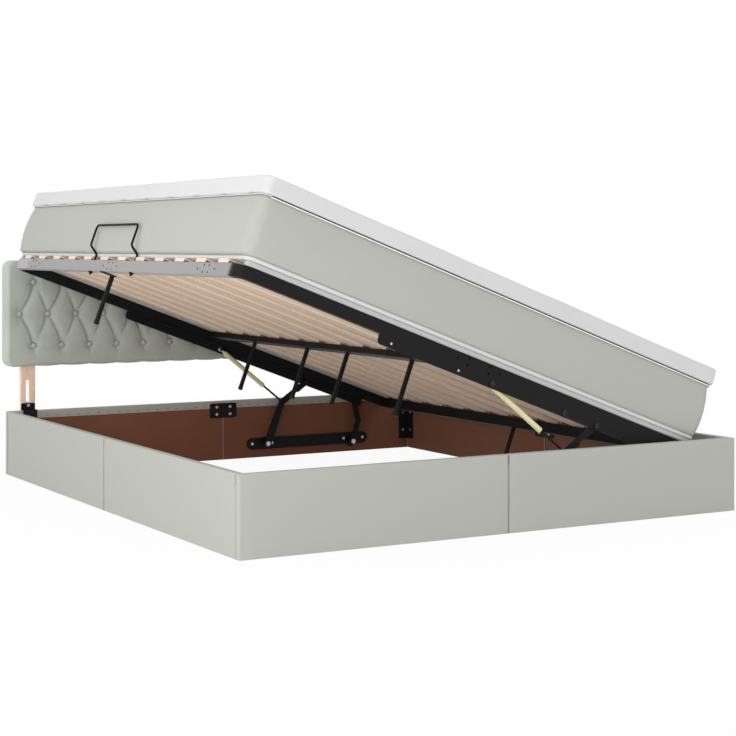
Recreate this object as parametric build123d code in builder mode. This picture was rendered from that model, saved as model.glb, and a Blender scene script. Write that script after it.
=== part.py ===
from build123d import *
import math
import os

os.makedirs("parts", exist_ok=True)

# Base box
base_width = 1830.0
base_length = 2030.0
base_height = 241.0
board_thickness = 22.0
velvet_thickness = 1.5
velvet_lip = 30.0
panel_edge_chamfer = 2.0
panel_seam_gap = 0.6
board_depth = velvet_thickness + board_thickness
panel_thickness = board_depth + velvet_thickness

# Base fittings
bracket_leg = 45.0
bracket_thickness = 2.5
bracket_foot = 40.0
bracket_top_gap = 51.0
bracket_height = base_height - bracket_foot - bracket_top_gap
seam_plate_width = 120.0
seam_plate_height = 60.0
seam_plate_thickness = 2.5
seam_plate_corner = 6.0
seam_plate_top_gap = 9.0
bolt_head_radius = 6.0
bolt_head_height = 2.0
small_head_sides = 6
round_head_sides = 12

# Lifted platform: its pose in the photograph, and where it lies when closed
open_angle = 20.25
hinge_edge_inset = 158.1541
hinge_edge_height = 181.7573
closed_floor_gap = 2.0
closed_shift = 2.0
platform_side_gap = 32.0
platform_width = base_width - 2 * platform_side_gap
platform_end_gap = 45.0
frame_bar_width = 22.0
frame_bar_height = 38.0
frame_wall = 1.5
frame_corner_radius = 45.0
frame_corner_return = 75.0
beam_width = 40.0
beam_height = 20.0

# Slats and their holders
slat_count = 12
slat_width = 68.0
slat_thickness = 12.0
slat_rise = 3.0
slat_end_margin = 90.0
slat_tip_gap = 2.0
holder_base = 2.0
holder_cheek_height = 6.0
holder_cheek_width = 2.0
holder_clearance = 0.4

# Support legs under the platform
support_leg_reach = 174.0
opening_leg_place = 44.0
opening_leg_shift = 61.0
leg_tab_width = 36.0
leg_tab_thickness = 3.0
support_leg_radius = 8.0
support_cap_radius = 9.0
support_cap_length = 14.0
support_cap_chamfer = 3.0
support_sides = 12
beam_leg_outer_share = 0.585
beam_leg_inner_share = 0.15

# Hole groups drilled in the frame bars
hole_radius = 3.5
hole_sides = 8
hole_group_far = 82.0
hole_group_near = 41.0
hole_group_rise = 11.0
opening_group_far = 58.0
opening_group_near = 17.0
opening_group_pitch = 750.0
end_group_place = 869.0

# Lift mechanism, its places along the platform counted from the hinge edge
lift_bar_start_inset = 1266.0
lift_bar_end_inset = 116.0
lift_bar_flange_inset = 196.0
lift_bar_drop = 31.0
lift_bar_flange = 30.0
lift_bar_thickness = 3.5
lift_bar_nose_radius = 14.0
silver_bolt_insets = (1219.0, 965.0)
silver_bolt_radius = 4.0
black_bolt_inset = 538.0
mount_plate_thickness = 4.0
arm_thickness = 5.0
pivot_radius = 5.0
pivot_clearance = 0.4
running_gap = 0.5
pivot_head_radius = 10.0
pivot_head_height = 4.0
arm_top_inset = 404.0
arm_top_drop = 17.0
link_top_inset = 154.0
link_top_drop = 18.0
arm_ground_height = 58.0
link_ground_height = 45.0
arm_eye_radius = 12.0
arm_elbow_radius = 13.0
arm_foot_radius = 17.0
arm_notch_radius = 30.0
link_eye_radius = 12.0
link_elbow_bow = 22.0
mount_plate_round = 24.0
mount_plate_margin = 60.0
mount_screw_inset = 32.0

# Gas strut
strut_top_inset = 833.0
strut_top_drop = 16.0
strut_foot_inset = 657.5
strut_foot_height = 226.0
strut_centre_gap = 10.0
barrel_radius = 9.0
barrel_length = 249.0
barrel_neck_length = 22.0
barrel_neck_radius = 4.0
barrel_bore_clearance = 0.4
rod_radius = 4.0
rod_hidden_length = 60.0
eye_radius = 7.5
eye_thickness = 9.0
stud_radius = 4.0
stud_clearance = 0.3
stud_head_radius = 6.5
stud_head_height = 2.5

# Mattress retainer rod
retainer_radius = 4.0
retainer_near = 826.0
retainer_far = 1184.0
retainer_height = 155.0
retainer_place = 6.0
retainer_kink_low = 60.0
retainer_kink_high = 83.0
retainer_reach = 25.0
retainer_tail = 12.0
retainer_bend = 14.0
retainer_sides = 6
retainer_hole_clearance = 0.4
retainer_nut_radius = 8.0
retainer_nut_height = 6.0

# Mattress and topper
mattress_top = 249.0
mattress_side_gap = 31.0
mattress_width = base_width - 2 * mattress_side_gap
mattress_end_gap = 37.0
mattress_corner = 50.0
mattress_bulge = 12.0
swell_steps = 4
mattress_edge_inset = 8.0
mattress_groove_width = 9.0
mattress_straight = 28.0
soft_clearance = 0.3
topper_gap = 0.5
topper_height = 55.0
topper_overhang = 12.0
topper_corner = 55.0
topper_edge = 16.0
edge_steps = 2

# Headboard
headboard_lift = 169.0
headboard_rise = 410.0
headboard_bottom = base_height + headboard_lift
headboard_top = headboard_bottom + headboard_rise
headboard_front = 20.0
headboard_corner = 32.0
headboard_edge = 15.0
headboard_board_thickness = 25.0
headboard_board_inset = 13.0
headboard_back_cover = 2.0
tuft_pitch = 115.0
tuft_rise = 123.0
tuft_row_lift = 203.0
tuft_row_height = headboard_bottom + tuft_row_lift
tuft_columns = round(base_width / tuft_pitch)
tuft_depth = 9.0
tuft_floor = 9.0
tuft_land = 3.0
button_radius = 9.0
button_height = 5.0
button_sides = 6
leg_width = 60.0
leg_thickness = 15.0
leg_side_gap = 90.0
leg_place = base_width / 2 - leg_side_gap
leg_bottom = 100.0
leg_hold = 290.0
leg_top = headboard_bottom + leg_hold
leg_corner_chamfer = 3.0
height_travel = 90.0
slot_width = 16.0
slot_lift = 11.0
slot_bottom = base_height + slot_lift
clamp_bolt_radius = 4.0
clamp_bolt_reach = 12.0
clamp_head_radius = 5.5
clamp_washer_radius = 12.0
clamp_head_height = 4.0
clamp_bracket_width = 56.0
clamp_bracket_thickness = 2.5
clamp_bracket_rise = 27.0
clamp_bracket_drop = 40.0
clamp_corner = 5.0
leg_screw_radius = 5.0
overrun = 5.0

# Places worked out from the sizes
headboard_back = soft_clearance + leg_thickness + soft_clearance + headboard_board_thickness
overall_length = base_length + headboard_back + headboard_back_cover
foot_face = -overall_length / 2
head_face = foot_face + base_length
base_centre = (foot_face + head_face) / 2
platform_near = foot_face + platform_end_gap
platform_far = head_face - platform_end_gap
platform_length = platform_far - platform_near

# The opening side's support leg reaches past the box, so the box stands off the origin by half of that
lean = math.radians(open_angle)
open_inset = base_width - hinge_edge_inset - platform_width * math.cos(lean)
open_height = hinge_edge_height + platform_width * math.sin(lean)
tip_place = opening_leg_place - support_cap_radius
tip_drop = support_leg_reach - support_cap_chamfer
tip_reach = tip_drop * math.sin(lean) - tip_place * math.cos(lean) - open_inset
box_middle = tip_reach / 2
platform_left = box_middle - base_width / 2 + open_inset
closed_left = box_middle + closed_shift - platform_width / 2
closed_height = support_leg_reach + closed_floor_gap
deck = Location((platform_left, 0, open_height), (0, open_angle, 0))


def lifted(plane):
    """Carry a plane of the flat platform up to its open pose."""
    return Plane(deck * plane.location)


def slab_plane(end, depth, thickness):
    """Upright plane whose extrusion fills depth to depth + thickness inside an end panel's outer face."""
    if end == "foot":
        return Plane.XZ.offset(-(foot_face + depth + thickness))
    return Plane.XZ.offset(-(head_face - depth))


def opened(place, rise):
    """Room position, seen from the foot end, of a platform point in the open pose."""
    angle = math.radians(open_angle)
    return (
        platform_left + place * math.cos(angle) + rise * math.sin(angle),
        open_height - place * math.sin(angle) + rise * math.cos(angle),
    )


def closed(place, rise):
    """Room position of a platform point with the bed closed."""
    return (closed_left + place, closed_height + rise)


def midpoint(start, end):
    return ((start[0] + end[0]) / 2, (start[1] + end[1]) / 2)


def ground_pivot(first, second, height):
    """Point at the given height that is equally far from both positions of a moving pivot."""
    middle = midpoint(first, second)
    run, drop = second[0] - first[0], second[1] - first[1]
    return (middle[0] - (height - middle[1]) * drop / run, height)


def bearing(start, end):
    return math.degrees(math.atan2(end[1] - start[1], end[0] - start[0]))


def distance(start, end):
    return math.hypot(end[0] - start[0], end[1] - start[1])


def turned(point, pivot, angle):
    """Rotate a point about a pivot, in degrees."""
    c, s = math.cos(math.radians(angle)), math.sin(math.radians(angle))
    dx, dz = point[0] - pivot[0], point[1] - pivot[1]
    return (pivot[0] + c * dx - s * dz, pivot[1] + s * dx + c * dz)


# Places of the lift mechanism along the platform
lift_bar_start = platform_width - lift_bar_start_inset
lift_bar_end = platform_width - lift_bar_end_inset
lift_bar_flange_end = platform_width - lift_bar_flange_inset
silver_bolt_places = [platform_width - inset for inset in silver_bolt_insets]
black_bolt_place = platform_width - black_bolt_inset
arm_top_place = platform_width - arm_top_inset
link_top_place = platform_width - link_top_inset
strut_top_place = platform_width - strut_top_inset

# Linkage: each ground pivot lies where its arm or link reaches the platform open and closed
arm_top = opened(arm_top_place, -arm_top_drop)
arm_top_closed = closed(arm_top_place, -arm_top_drop)
link_top = opened(link_top_place, -link_top_drop)
link_top_closed = closed(link_top_place, -link_top_drop)
arm_ground = ground_pivot(arm_top, arm_top_closed, arm_ground_height)
link_ground = ground_pivot(link_top, link_top_closed, link_ground_height)
strut_top = opened(strut_top_place, -strut_top_drop)
strut_top_closed = closed(strut_top_place, -strut_top_drop)
strut_foot = (box_middle + base_width / 2 - strut_foot_inset, strut_foot_height)
arm_turn = bearing(arm_ground, arm_top_closed) - bearing(arm_ground, arm_top)
link_turn = bearing(link_ground, link_top_closed) - bearing(link_ground, link_top)
strut_foot_closed = turned(strut_foot, arm_ground, arm_turn)
strut_length = distance(strut_top, strut_foot)
strut_stroke = strut_length - distance(strut_top_closed, strut_foot_closed)
strut_turn = bearing(strut_top_closed, strut_foot_closed) - bearing(strut_top, strut_foot)
print("arm ground", arm_ground, "link ground", link_ground)
print("arm top", arm_top, "link top", link_top, "strut top", strut_top, "strut foot", strut_foot)
print("arm turn", arm_turn, "link turn", link_turn, "platform turn", open_angle)
print("strut length", strut_length, "stroke", strut_stroke, "turn", strut_turn)

# Depths of the mechanism's layers inside each end panel
flange_depth = platform_end_gap
arm_depth = flange_depth + lift_bar_thickness + running_gap
strut_depth = arm_depth + arm_thickness + strut_centre_gap


# Box panels: four sides, each of two boards in velvet covers that meet at a seam
sides = {
    "foot": (0, base_length / 2, base_width / 2),
    "hinge": (90, base_width / 2, base_length / 2 - panel_thickness),
    "head": (180, base_length / 2, base_width / 2),
    "opening": (270, base_width / 2, base_length / 2 - panel_thickness),
}


def panel_plane(side, along):
    """Plane across a panel: x runs inwards from the outer face, y runs up."""
    turn, reach, _ = sides[side]
    across = Plane(origin=(along, -reach, 0), x_dir=(0, 1, 0), z_dir=(1, 0, 0))
    return Plane(Location((box_middle, base_centre, 0), (0, 0, turn)) * across.location)


def face_plane(side, depth):
    """Plane on a panel's inner side at a depth: x runs along the panel, y up, extruding outwards."""
    turn, reach, _ = sides[side]
    flat = Plane(origin=(0, depth - reach, 0), x_dir=(1, 0, 0), z_dir=(0, -1, 0))
    return Plane(Location((box_middle, base_centre, 0), (0, 0, turn)) * flat.location)


def make_board(side, start, end):
    with BuildPart() as board:
        with BuildSketch(panel_plane(side, start + velvet_thickness)):
            with Locations((velvet_thickness, 0)):
                Rectangle(board_thickness, base_height - velvet_thickness, align=(Align.MIN, Align.MIN))
        extrude(amount=end - start - 2 * velvet_thickness)
    return board.part


def make_cover(side, start, end):
    with BuildPart() as cover:
        with BuildSketch(panel_plane(side, start)) as profile:
            Rectangle(panel_thickness, base_height, align=(Align.MIN, Align.MIN))
            upper = profile.vertices().group_by(Axis.Y)[-1]
            chamfer(upper, panel_edge_chamfer)
            with Locations((board_depth, 0)):
                Rectangle(
                    velvet_thickness,
                    base_height - velvet_lip,
                    align=(Align.MIN, Align.MIN),
                    mode=Mode.SUBTRACT,
                )
        extrude(amount=end - start)
        with BuildSketch(panel_plane(side, start + velvet_thickness)):
            with Locations((velvet_thickness, 0)):
                Rectangle(board_thickness, base_height - velvet_thickness, align=(Align.MIN, Align.MIN))
        extrude(amount=end - start - 2 * velvet_thickness, mode=Mode.SUBTRACT)
    return cover.part


for side, (_, _, reach) in sides.items():
    halves = {"left": (-reach, -panel_seam_gap / 2), "right": (panel_seam_gap / 2, reach)}
    for half, (start, end) in halves.items():
        board = make_board(side, start, end)
        board.label = f"{side}_board_{half}"
        export_step(board, f"parts/{side}_board_{half}.step")
        cover = make_cover(side, start, end)
        cover.label = f"{side}_cover_{half}"
        export_step(cover, f"parts/{side}_cover_{half}.step")

# Corner brackets, one angle in each corner on the bare boards
corner_x = base_width / 2 - board_depth
corner_y = base_length / 2 - board_depth
with BuildPart() as corner_brackets:
    with BuildSketch(Plane.XY.offset(bracket_foot)):
        for sx in (-1, 1):
            for sy in (-1, 1):
                align = (Align.MAX if sx > 0 else Align.MIN, Align.MAX if sy > 0 else Align.MIN)
                with Locations((box_middle + sx * corner_x, base_centre + sy * corner_y)):
                    Rectangle(bracket_leg, bracket_thickness, align=align)
                    Rectangle(bracket_thickness, bracket_leg, align=align)
    extrude(amount=bracket_height)
corner_brackets.part.label = "corner_brackets"
export_step(corner_brackets.part, "parts/corner_brackets.step")

# Plates across the four panel seams
seam_plate_depth = {
    "foot": panel_thickness,
    "head": panel_thickness,
    "hinge": board_depth,
    "opening": board_depth,
}
seam_plate_top = {
    "foot": base_height - seam_plate_top_gap,
    "head": base_height - seam_plate_top_gap,
    "hinge": base_height - velvet_lip - seam_plate_top_gap,
    "opening": base_height - velvet_lip - seam_plate_top_gap,
}
with BuildPart() as seam_plates:
    for side in sides:
        with BuildSketch(face_plane(side, seam_plate_depth[side] + seam_plate_thickness)):
            with Locations((0, seam_plate_top[side] - seam_plate_height / 2)):
                plate = Rectangle(seam_plate_width, seam_plate_height)
            chamfer(plate.vertices(), seam_plate_corner)
        extrude(amount=seam_plate_thickness)
seam_plates.part.label = "seam_plates"
export_step(seam_plates.part, "parts/seam_plates.step")

# Bolt heads on the seam plates and corner brackets
with BuildPart() as base_bolts:
    for side in sides:
        turn, reach, half_length = sides[side]
        head_top = seam_plate_depth[side] + seam_plate_thickness + bolt_head_height
        with BuildSketch(face_plane(side, head_top)):
            with Locations((0, seam_plate_top[side] - seam_plate_height / 2)):
                with GridLocations(seam_plate_width / 2, seam_plate_height / 2, 2, 2):
                    RegularPolygon(bolt_head_radius, small_head_sides)
        extrude(amount=bolt_head_height)
        inner_half = half_length if reach == base_width / 2 else half_length - panel_thickness
        bolt_column = inner_half - bracket_leg / 2 - bracket_thickness
        with BuildSketch(face_plane(side, board_depth + bracket_thickness + bolt_head_height)):
            with Locations((0, bracket_foot + bracket_height / 2)):
                with GridLocations(2 * bolt_column, bracket_height / 2, 2, 2):
                    RegularPolygon(bolt_head_radius, small_head_sides)
        extrude(amount=bolt_head_height)
base_bolts.part.label = "base_bolts"
export_step(base_bolts.part, "parts/base_bolts.step")


def hull_of(*circles):
    """Fill the straight-sided outline around each neighbouring pair of circles (x, y, radius)."""
    for first, second in zip(circles, circles[1:]):
        with BuildSketch(mode=Mode.PRIVATE) as pair:
            for x, y, radius in (first, second):
                with Locations((x, y)):
                    Circle(radius)
            make_hull(pair.edges())
        add(pair.sketch)


# Lift mechanism fixed to each end panel
plate_low = min(arm_ground_height, link_ground_height)
plate_middle = plate_low + mount_plate_round / 2
for end in ("foot", "head"):
    with BuildPart() as mount_plate:
        with BuildSketch(slab_plane(end, board_depth, mount_plate_thickness)):
            hull_of(
                (arm_ground[0] - mount_plate_margin, plate_middle, mount_plate_round),
                (link_ground[0] + mount_plate_margin, plate_middle, mount_plate_round),
            )
            with Locations((arm_ground[0], arm_ground[1]), (link_ground[0], link_ground[1])):
                Circle(mount_plate_round)
        extrude(amount=mount_plate_thickness)
        boss_start = board_depth + mount_plate_thickness
        boss_length = arm_depth - running_gap - boss_start
        with BuildSketch(slab_plane(end, boss_start, boss_length)):
            with Locations(arm_ground, link_ground):
                RegularPolygon(pivot_head_radius, round_head_sides)
        extrude(amount=boss_length)
    name = f"mount_plate_{end}"
    mount_plate.part.label = name
    export_step(mount_plate.part, f"parts/{name}.step")

with BuildPart() as ground_pivots:
    for end in ("foot", "head"):
        pin_start = arm_depth - running_gap
        pin_length = running_gap + arm_thickness + running_gap
        with BuildSketch(slab_plane(end, pin_start, pin_length)):
            with Locations(arm_ground, link_ground):
                Circle(pivot_radius)
        extrude(amount=pin_length)
        with BuildSketch(slab_plane(end, pin_start + pin_length, pivot_head_height)):
            with Locations(arm_ground, link_ground):
                RegularPolygon(pivot_head_radius, round_head_sides)
        extrude(amount=pivot_head_height)
ground_pivots.part.label = "ground_pivots"
export_step(ground_pivots.part, "parts/ground_pivots.step")

with BuildPart() as mount_screws:
    for end in ("foot", "head"):
        head_start = board_depth + mount_plate_thickness
        with BuildSketch(slab_plane(end, head_start, bolt_head_height)):
            with Locations(
                (arm_ground[0] - mount_plate_margin, plate_middle),
                (arm_ground[0] + mount_screw_inset, plate_middle),
                (link_ground[0] - mount_screw_inset, plate_middle),
                (link_ground[0] + mount_plate_margin, plate_middle),
            ):
                RegularPolygon(bolt_head_radius, small_head_sides)
        extrude(amount=bolt_head_height)
mount_screws.part.label = "mount_screws"
export_step(mount_screws.part, "parts/mount_screws.step")

# Lift arms: bent plates from the ground pivot by the strut's foot to the platform
notch_centre = midpoint(strut_foot, arm_top)
notch_side = bearing(strut_foot, arm_top) - 90
notch_reach = arm_notch_radius + arm_eye_radius / 2
notch = (
    notch_centre[0] + notch_reach * math.cos(math.radians(notch_side)),
    notch_centre[1] + notch_reach * math.sin(math.radians(notch_side)),
)
for end in ("foot", "head"):
    with BuildPart() as lift_arm:
        with BuildSketch(slab_plane(end, arm_depth, arm_thickness)):
            hull_of(
                (*arm_ground, arm_foot_radius),
                (*strut_foot, arm_elbow_radius),
                (*arm_top, arm_eye_radius),
            )
            with Locations(notch):
                Circle(arm_notch_radius, mode=Mode.SUBTRACT)
            with Locations(arm_ground, arm_top):
                Circle(pivot_radius + pivot_clearance, mode=Mode.SUBTRACT)
        extrude(amount=arm_thickness)
    name = f"lift_arm_{end}"
    lift_arm.part.label = name
    export_step(lift_arm.part, f"parts/{name}.step")

# Rear links: short bent plates that steer the hinge end of the platform
link_middle = midpoint(link_ground, link_top)
link_elbow = (link_middle[0] + link_elbow_bow, link_middle[1])
for end in ("foot", "head"):
    with BuildPart() as rear_link:
        with BuildSketch(slab_plane(end, arm_depth, arm_thickness)):
            hull_of(
                (*link_ground, link_eye_radius),
                (*link_elbow, link_eye_radius),
                (*link_top, link_eye_radius),
            )
            with Locations(link_ground):
                Circle(pivot_radius + pivot_clearance, mode=Mode.SUBTRACT)
        extrude(amount=arm_thickness)
        with BuildSketch(slab_plane(end, arm_depth + arm_thickness, pivot_head_height)):
            with Locations(link_top):
                RegularPolygon(pivot_head_radius, round_head_sides)
        extrude(amount=pivot_head_height)
    name = f"rear_link_{end}"
    rear_link.part.label = name
    export_step(rear_link.part, f"parts/{name}.step")


def along_strut(end, start):
    """Plane square to the strut, at a distance down from its top pivot."""
    y = foot_face + strut_depth if end == "foot" else head_face - strut_depth
    top = Vector(strut_top[0], y, strut_top[1])
    direction = (Vector(strut_foot[0], y, strut_foot[1]) - top).normalized()
    return Plane(origin=top + direction * start, x_dir=(0, 1, 0), z_dir=direction)


# Gas struts: barrel on the platform, rod on the arm
rod_start = barrel_length - rod_hidden_length
bore_depth = rod_hidden_length + strut_stroke + overrun
for end in ("foot", "head"):
    eye_depth = strut_depth - eye_thickness / 2
    with BuildPart() as strut_barrel:
        with BuildSketch(along_strut(end, barrel_neck_length)):
            Circle(barrel_radius)
        extrude(amount=barrel_length - barrel_neck_length)
        with BuildSketch(along_strut(end, stud_head_radius + running_gap)):
            Circle(barrel_neck_radius)
        extrude(amount=barrel_neck_length - stud_head_radius)
        with BuildSketch(slab_plane(end, eye_depth, eye_thickness)):
            with Locations(strut_top):
                Circle(eye_radius)
        extrude(amount=eye_thickness)
        with BuildSketch(slab_plane(end, strut_depth - barrel_radius, 2 * barrel_radius)):
            with Locations(strut_top):
                Circle(stud_radius + stud_clearance)
        extrude(amount=2 * barrel_radius, mode=Mode.SUBTRACT)
        with BuildSketch(along_strut(end, barrel_length - bore_depth)):
            Circle(rod_radius + barrel_bore_clearance)
        extrude(amount=bore_depth + overrun, mode=Mode.SUBTRACT)
    name = f"strut_barrel_{end}"
    strut_barrel.part.label = name
    export_step(strut_barrel.part, f"parts/{name}.step")
    with BuildPart() as strut_rod:
        with BuildSketch(along_strut(end, rod_start)):
            Circle(rod_radius)
        extrude(amount=strut_length - rod_start)
        stud_start = arm_depth + arm_thickness + running_gap
        stud_length = strut_depth + eye_thickness / 2 + stud_head_height - stud_start
        with BuildSketch(slab_plane(end, eye_depth, eye_thickness)):
            with Locations(strut_foot):
                Circle(eye_radius)
        extrude(amount=eye_thickness)
        with BuildSketch(slab_plane(end, stud_start, stud_length)):
            with Locations(strut_foot):
                Circle(stud_radius)
        extrude(amount=stud_length)
    name = f"strut_rod_{end}"
    strut_rod.part.label = name
    export_step(strut_rod.part, f"parts/{name}.step")

# Bolts that ride on the platform: arm pivots, strut studs and their heads
with BuildPart() as arm_top_pivots:
    for end in ("foot", "head"):
        pin_start = flange_depth
        pin_length = lift_bar_thickness + running_gap + arm_thickness + running_gap
        with BuildSketch(slab_plane(end, pin_start, pin_length)):
            with Locations(arm_top):
                Circle(pivot_radius)
        extrude(amount=pin_length)
        for start in (pin_start - pivot_head_height, pin_start + pin_length):
            with BuildSketch(slab_plane(end, start, pivot_head_height)):
                with Locations(arm_top):
                    RegularPolygon(pivot_head_radius, round_head_sides)
            extrude(amount=pivot_head_height)
arm_top_pivots.part.label = "arm_top_pivots"
export_step(arm_top_pivots.part, "parts/arm_top_pivots.step")

with BuildPart() as strut_top_studs:
    for end in ("foot", "head"):
        pin_length = strut_depth + eye_thickness / 2 + running_gap - flange_depth
        with BuildSketch(slab_plane(end, flange_depth, pin_length)):
            with Locations(strut_top):
                Circle(stud_radius)
        extrude(amount=pin_length)
        for start, height, radius in (
            (flange_depth - pivot_head_height, pivot_head_height, pivot_head_radius),
            (flange_depth + pin_length, stud_head_height, stud_head_radius),
        ):
            with BuildSketch(slab_plane(end, start, height)):
                with Locations(strut_top):
                    RegularPolygon(radius, round_head_sides)
            extrude(amount=height)
strut_top_studs.part.label = "strut_top_studs"
export_step(strut_top_studs.part, "parts/strut_top_studs.step")

# Lift bars: angles under the platform's foot and head bars, with a rounded, notched nose
bolt_line = -(lift_bar_drop + lift_bar_thickness) / 2
for end in ("foot", "head"):
    with BuildPart() as lift_bar:
        with BuildSketch(lifted(slab_plane(end, flange_depth, lift_bar_thickness))) as side_view:
            with Locations((lift_bar_start, -lift_bar_drop)):
                Rectangle(lift_bar_end - lift_bar_start, lift_bar_drop, align=(Align.MIN, Align.MIN))
            nose = side_view.vertices().group_by(Axis.X)[0].group_by(Axis.Y)[0]
            fillet(nose, lift_bar_nose_radius)
        extrude(amount=lift_bar_thickness)
        flange_start = flange_depth + lift_bar_thickness
        flange_length = lift_bar_flange - lift_bar_thickness
        with BuildSketch(lifted(slab_plane(end, flange_start, flange_length))):
            with Locations((lift_bar_start + lift_bar_nose_radius, -lift_bar_thickness)):
                Rectangle(
                    lift_bar_flange_end - lift_bar_start - lift_bar_nose_radius,
                    lift_bar_thickness,
                    align=(Align.MIN, Align.MIN),
                )
        extrude(amount=flange_length)
        with BuildSketch(slab_plane(end, flange_depth, lift_bar_thickness)):
            with Locations(arm_top):
                Circle(pivot_radius)
            with Locations(strut_top):
                Circle(stud_radius)
        extrude(amount=lift_bar_thickness, mode=Mode.SUBTRACT)
    name = f"lift_bar_{end}"
    lift_bar.part.label = name
    export_step(lift_bar.part, f"parts/{name}.step")

with BuildPart() as lift_bar_bolts:
    for end in ("foot", "head"):
        with BuildSketch(lifted(slab_plane(end, flange_depth - bolt_head_height, bolt_head_height))):
            for place in silver_bolt_places:
                with Locations((place, bolt_line)):
                    RegularPolygon(silver_bolt_radius, small_head_sides)
            with Locations((black_bolt_place, bolt_line), (link_top_place, -link_top_drop)):
                RegularPolygon(pivot_head_radius, round_head_sides)
        extrude(amount=bolt_head_height)
lift_bar_bolts.part.label = "lift_bar_bolts"
export_step(lift_bar_bolts.part, "parts/lift_bar_bolts.step")

# Platform frame bars
platform_middle = (platform_near + platform_far) / 2


def hook_outline(inset):
    """Plan of the opening bar with its two rounded corners, drawn inwards by an inset."""
    outer = (2 * frame_corner_return - 2 * inset, platform_length - 2 * inset)
    inner = (outer[0] - 2 * frame_bar_width + 4 * inset, outer[1] - 2 * frame_bar_width + 4 * inset)
    with Locations((frame_corner_return, platform_middle)):
        RectangleRounded(*outer, frame_corner_radius - inset)
        RectangleRounded(*inner, frame_corner_radius - frame_bar_width + inset, mode=Mode.SUBTRACT)
    with Locations((frame_corner_return - inset, platform_middle)):
        half_plane = (Align.MIN, Align.CENTER)
        Rectangle(2 * frame_corner_return, 2 * platform_length, align=half_plane, mode=Mode.SUBTRACT)


def hole_group(far, near):
    """Two triangles of holes that point away from each other."""
    for sign in (-1, 1):
        with Locations((sign * far, 0)):
            RegularPolygon(hole_radius, hole_sides)
        with Locations((sign * near, hole_group_rise), (sign * near, -hole_group_rise)):
            RegularPolygon(hole_radius, hole_sides)


opening_group_places = [platform_middle + k * opening_group_pitch for k in (-1, 0, 1)]
retainer_places = [foot_face + retainer_near, foot_face + retainer_far]
with BuildPart() as frame_opening_bar:
    with BuildSketch(lifted(Plane.XY)):
        hook_outline(0)
    extrude(amount=frame_bar_height)
    with BuildSketch(lifted(Plane.XY.offset(frame_wall))):
        hook_outline(frame_wall)
    extrude(amount=frame_bar_height - 2 * frame_wall, mode=Mode.SUBTRACT)
    for place in opening_group_places:
        drill = Plane(origin=(0, place, frame_bar_height / 2), x_dir=(0, 1, 0), z_dir=(1, 0, 0))
        with BuildSketch(lifted(drill)):
            hole_group(opening_group_far, opening_group_near)
        extrude(amount=frame_wall, mode=Mode.SUBTRACT)
    with BuildSketch(lifted(Plane.XY)):
        with Locations(*[(retainer_place, place) for place in retainer_places]):
            RegularPolygon(retainer_radius + retainer_hole_clearance, retainer_sides)
    extrude(amount=frame_bar_height, mode=Mode.SUBTRACT)
frame_opening_bar.part.label = "frame_opening_bar"
export_step(frame_opening_bar.part, "parts/frame_opening_bar.step")

end_bar_length = platform_width - frame_corner_return
for end in ("foot", "head"):
    corner = platform_near if end == "foot" else platform_far
    inward = 1 if end == "foot" else -1
    profile_plane = Plane(
        origin=(frame_corner_return, corner + inward * frame_bar_width / 2, frame_bar_height / 2),
        x_dir=(0, 1, 0),
        z_dir=(1, 0, 0),
    )
    with BuildPart() as end_bar:
        with BuildSketch(lifted(profile_plane)):
            Rectangle(frame_bar_width, frame_bar_height)
            Rectangle(frame_bar_width - 2 * frame_wall, frame_bar_height - 2 * frame_wall, mode=Mode.SUBTRACT)
        extrude(amount=end_bar_length)
        with BuildSketch(lifted(slab_plane(end, platform_end_gap, frame_wall))):
            with Locations((end_group_place, frame_bar_height / 2)):
                hole_group(hole_group_far, hole_group_near)
        extrude(amount=frame_wall, mode=Mode.SUBTRACT)
    name = f"frame_{end}_bar"
    end_bar.part.label = name
    export_step(end_bar.part, f"parts/{name}.step")

beam_place = platform_width / 2
cross_bars = {
    "frame_hinge_bar": (platform_width - frame_bar_width / 2, frame_bar_width, frame_bar_height),
    "centre_beam": (beam_place, beam_width, beam_height),
}
for name, (place, width, height) in cross_bars.items():
    with BuildPart() as cross_bar:
        start = Plane.XZ.offset(-(platform_near + frame_bar_width))
        with BuildSketch(lifted(start)):
            with Locations((place, frame_bar_height - height / 2)):
                Rectangle(width, height)
                Rectangle(width - 2 * frame_wall, height - 2 * frame_wall, mode=Mode.SUBTRACT)
        extrude(amount=-(platform_length - 2 * frame_bar_width))
    cross_bar.part.label = name
    export_step(cross_bar.part, f"parts/{name}.step")

# Slats: two rows of arched boards that end over the centre beam
slat_rows = {
    "opening": (slat_tip_gap, beam_place - slat_tip_gap),
    "hinge": (beam_place + slat_tip_gap, platform_width - slat_tip_gap),
}
slat_bottom = frame_bar_height + holder_base
slat_step = (platform_length - 2 * slat_end_margin - slat_width) / (slat_count - 1)
slat_places = [platform_near + slat_end_margin + k * slat_step for k in range(slat_count)]
for row, (start, end) in slat_rows.items():
    with BuildPart() as slats:
        with BuildSketch(*[lifted(Plane.XZ.offset(-place)) for place in slat_places]):
            with BuildLine():
                middle = (start + end) / 2
                crown = slat_bottom + slat_rise
                low = ThreePointArc((start, slat_bottom), (middle, crown), (end, slat_bottom))
                high = ThreePointArc(
                    (end, slat_bottom + slat_thickness),
                    (middle, crown + slat_thickness),
                    (start, slat_bottom + slat_thickness),
                )
                Line(low @ 1, high @ 0)
                Line(high @ 1, low @ 0)
            make_face()
        extrude(amount=-slat_width)
    name = f"slats_{row}_row"
    slats.part.label = name
    export_step(slats.part, f"parts/{name}.step")

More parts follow.
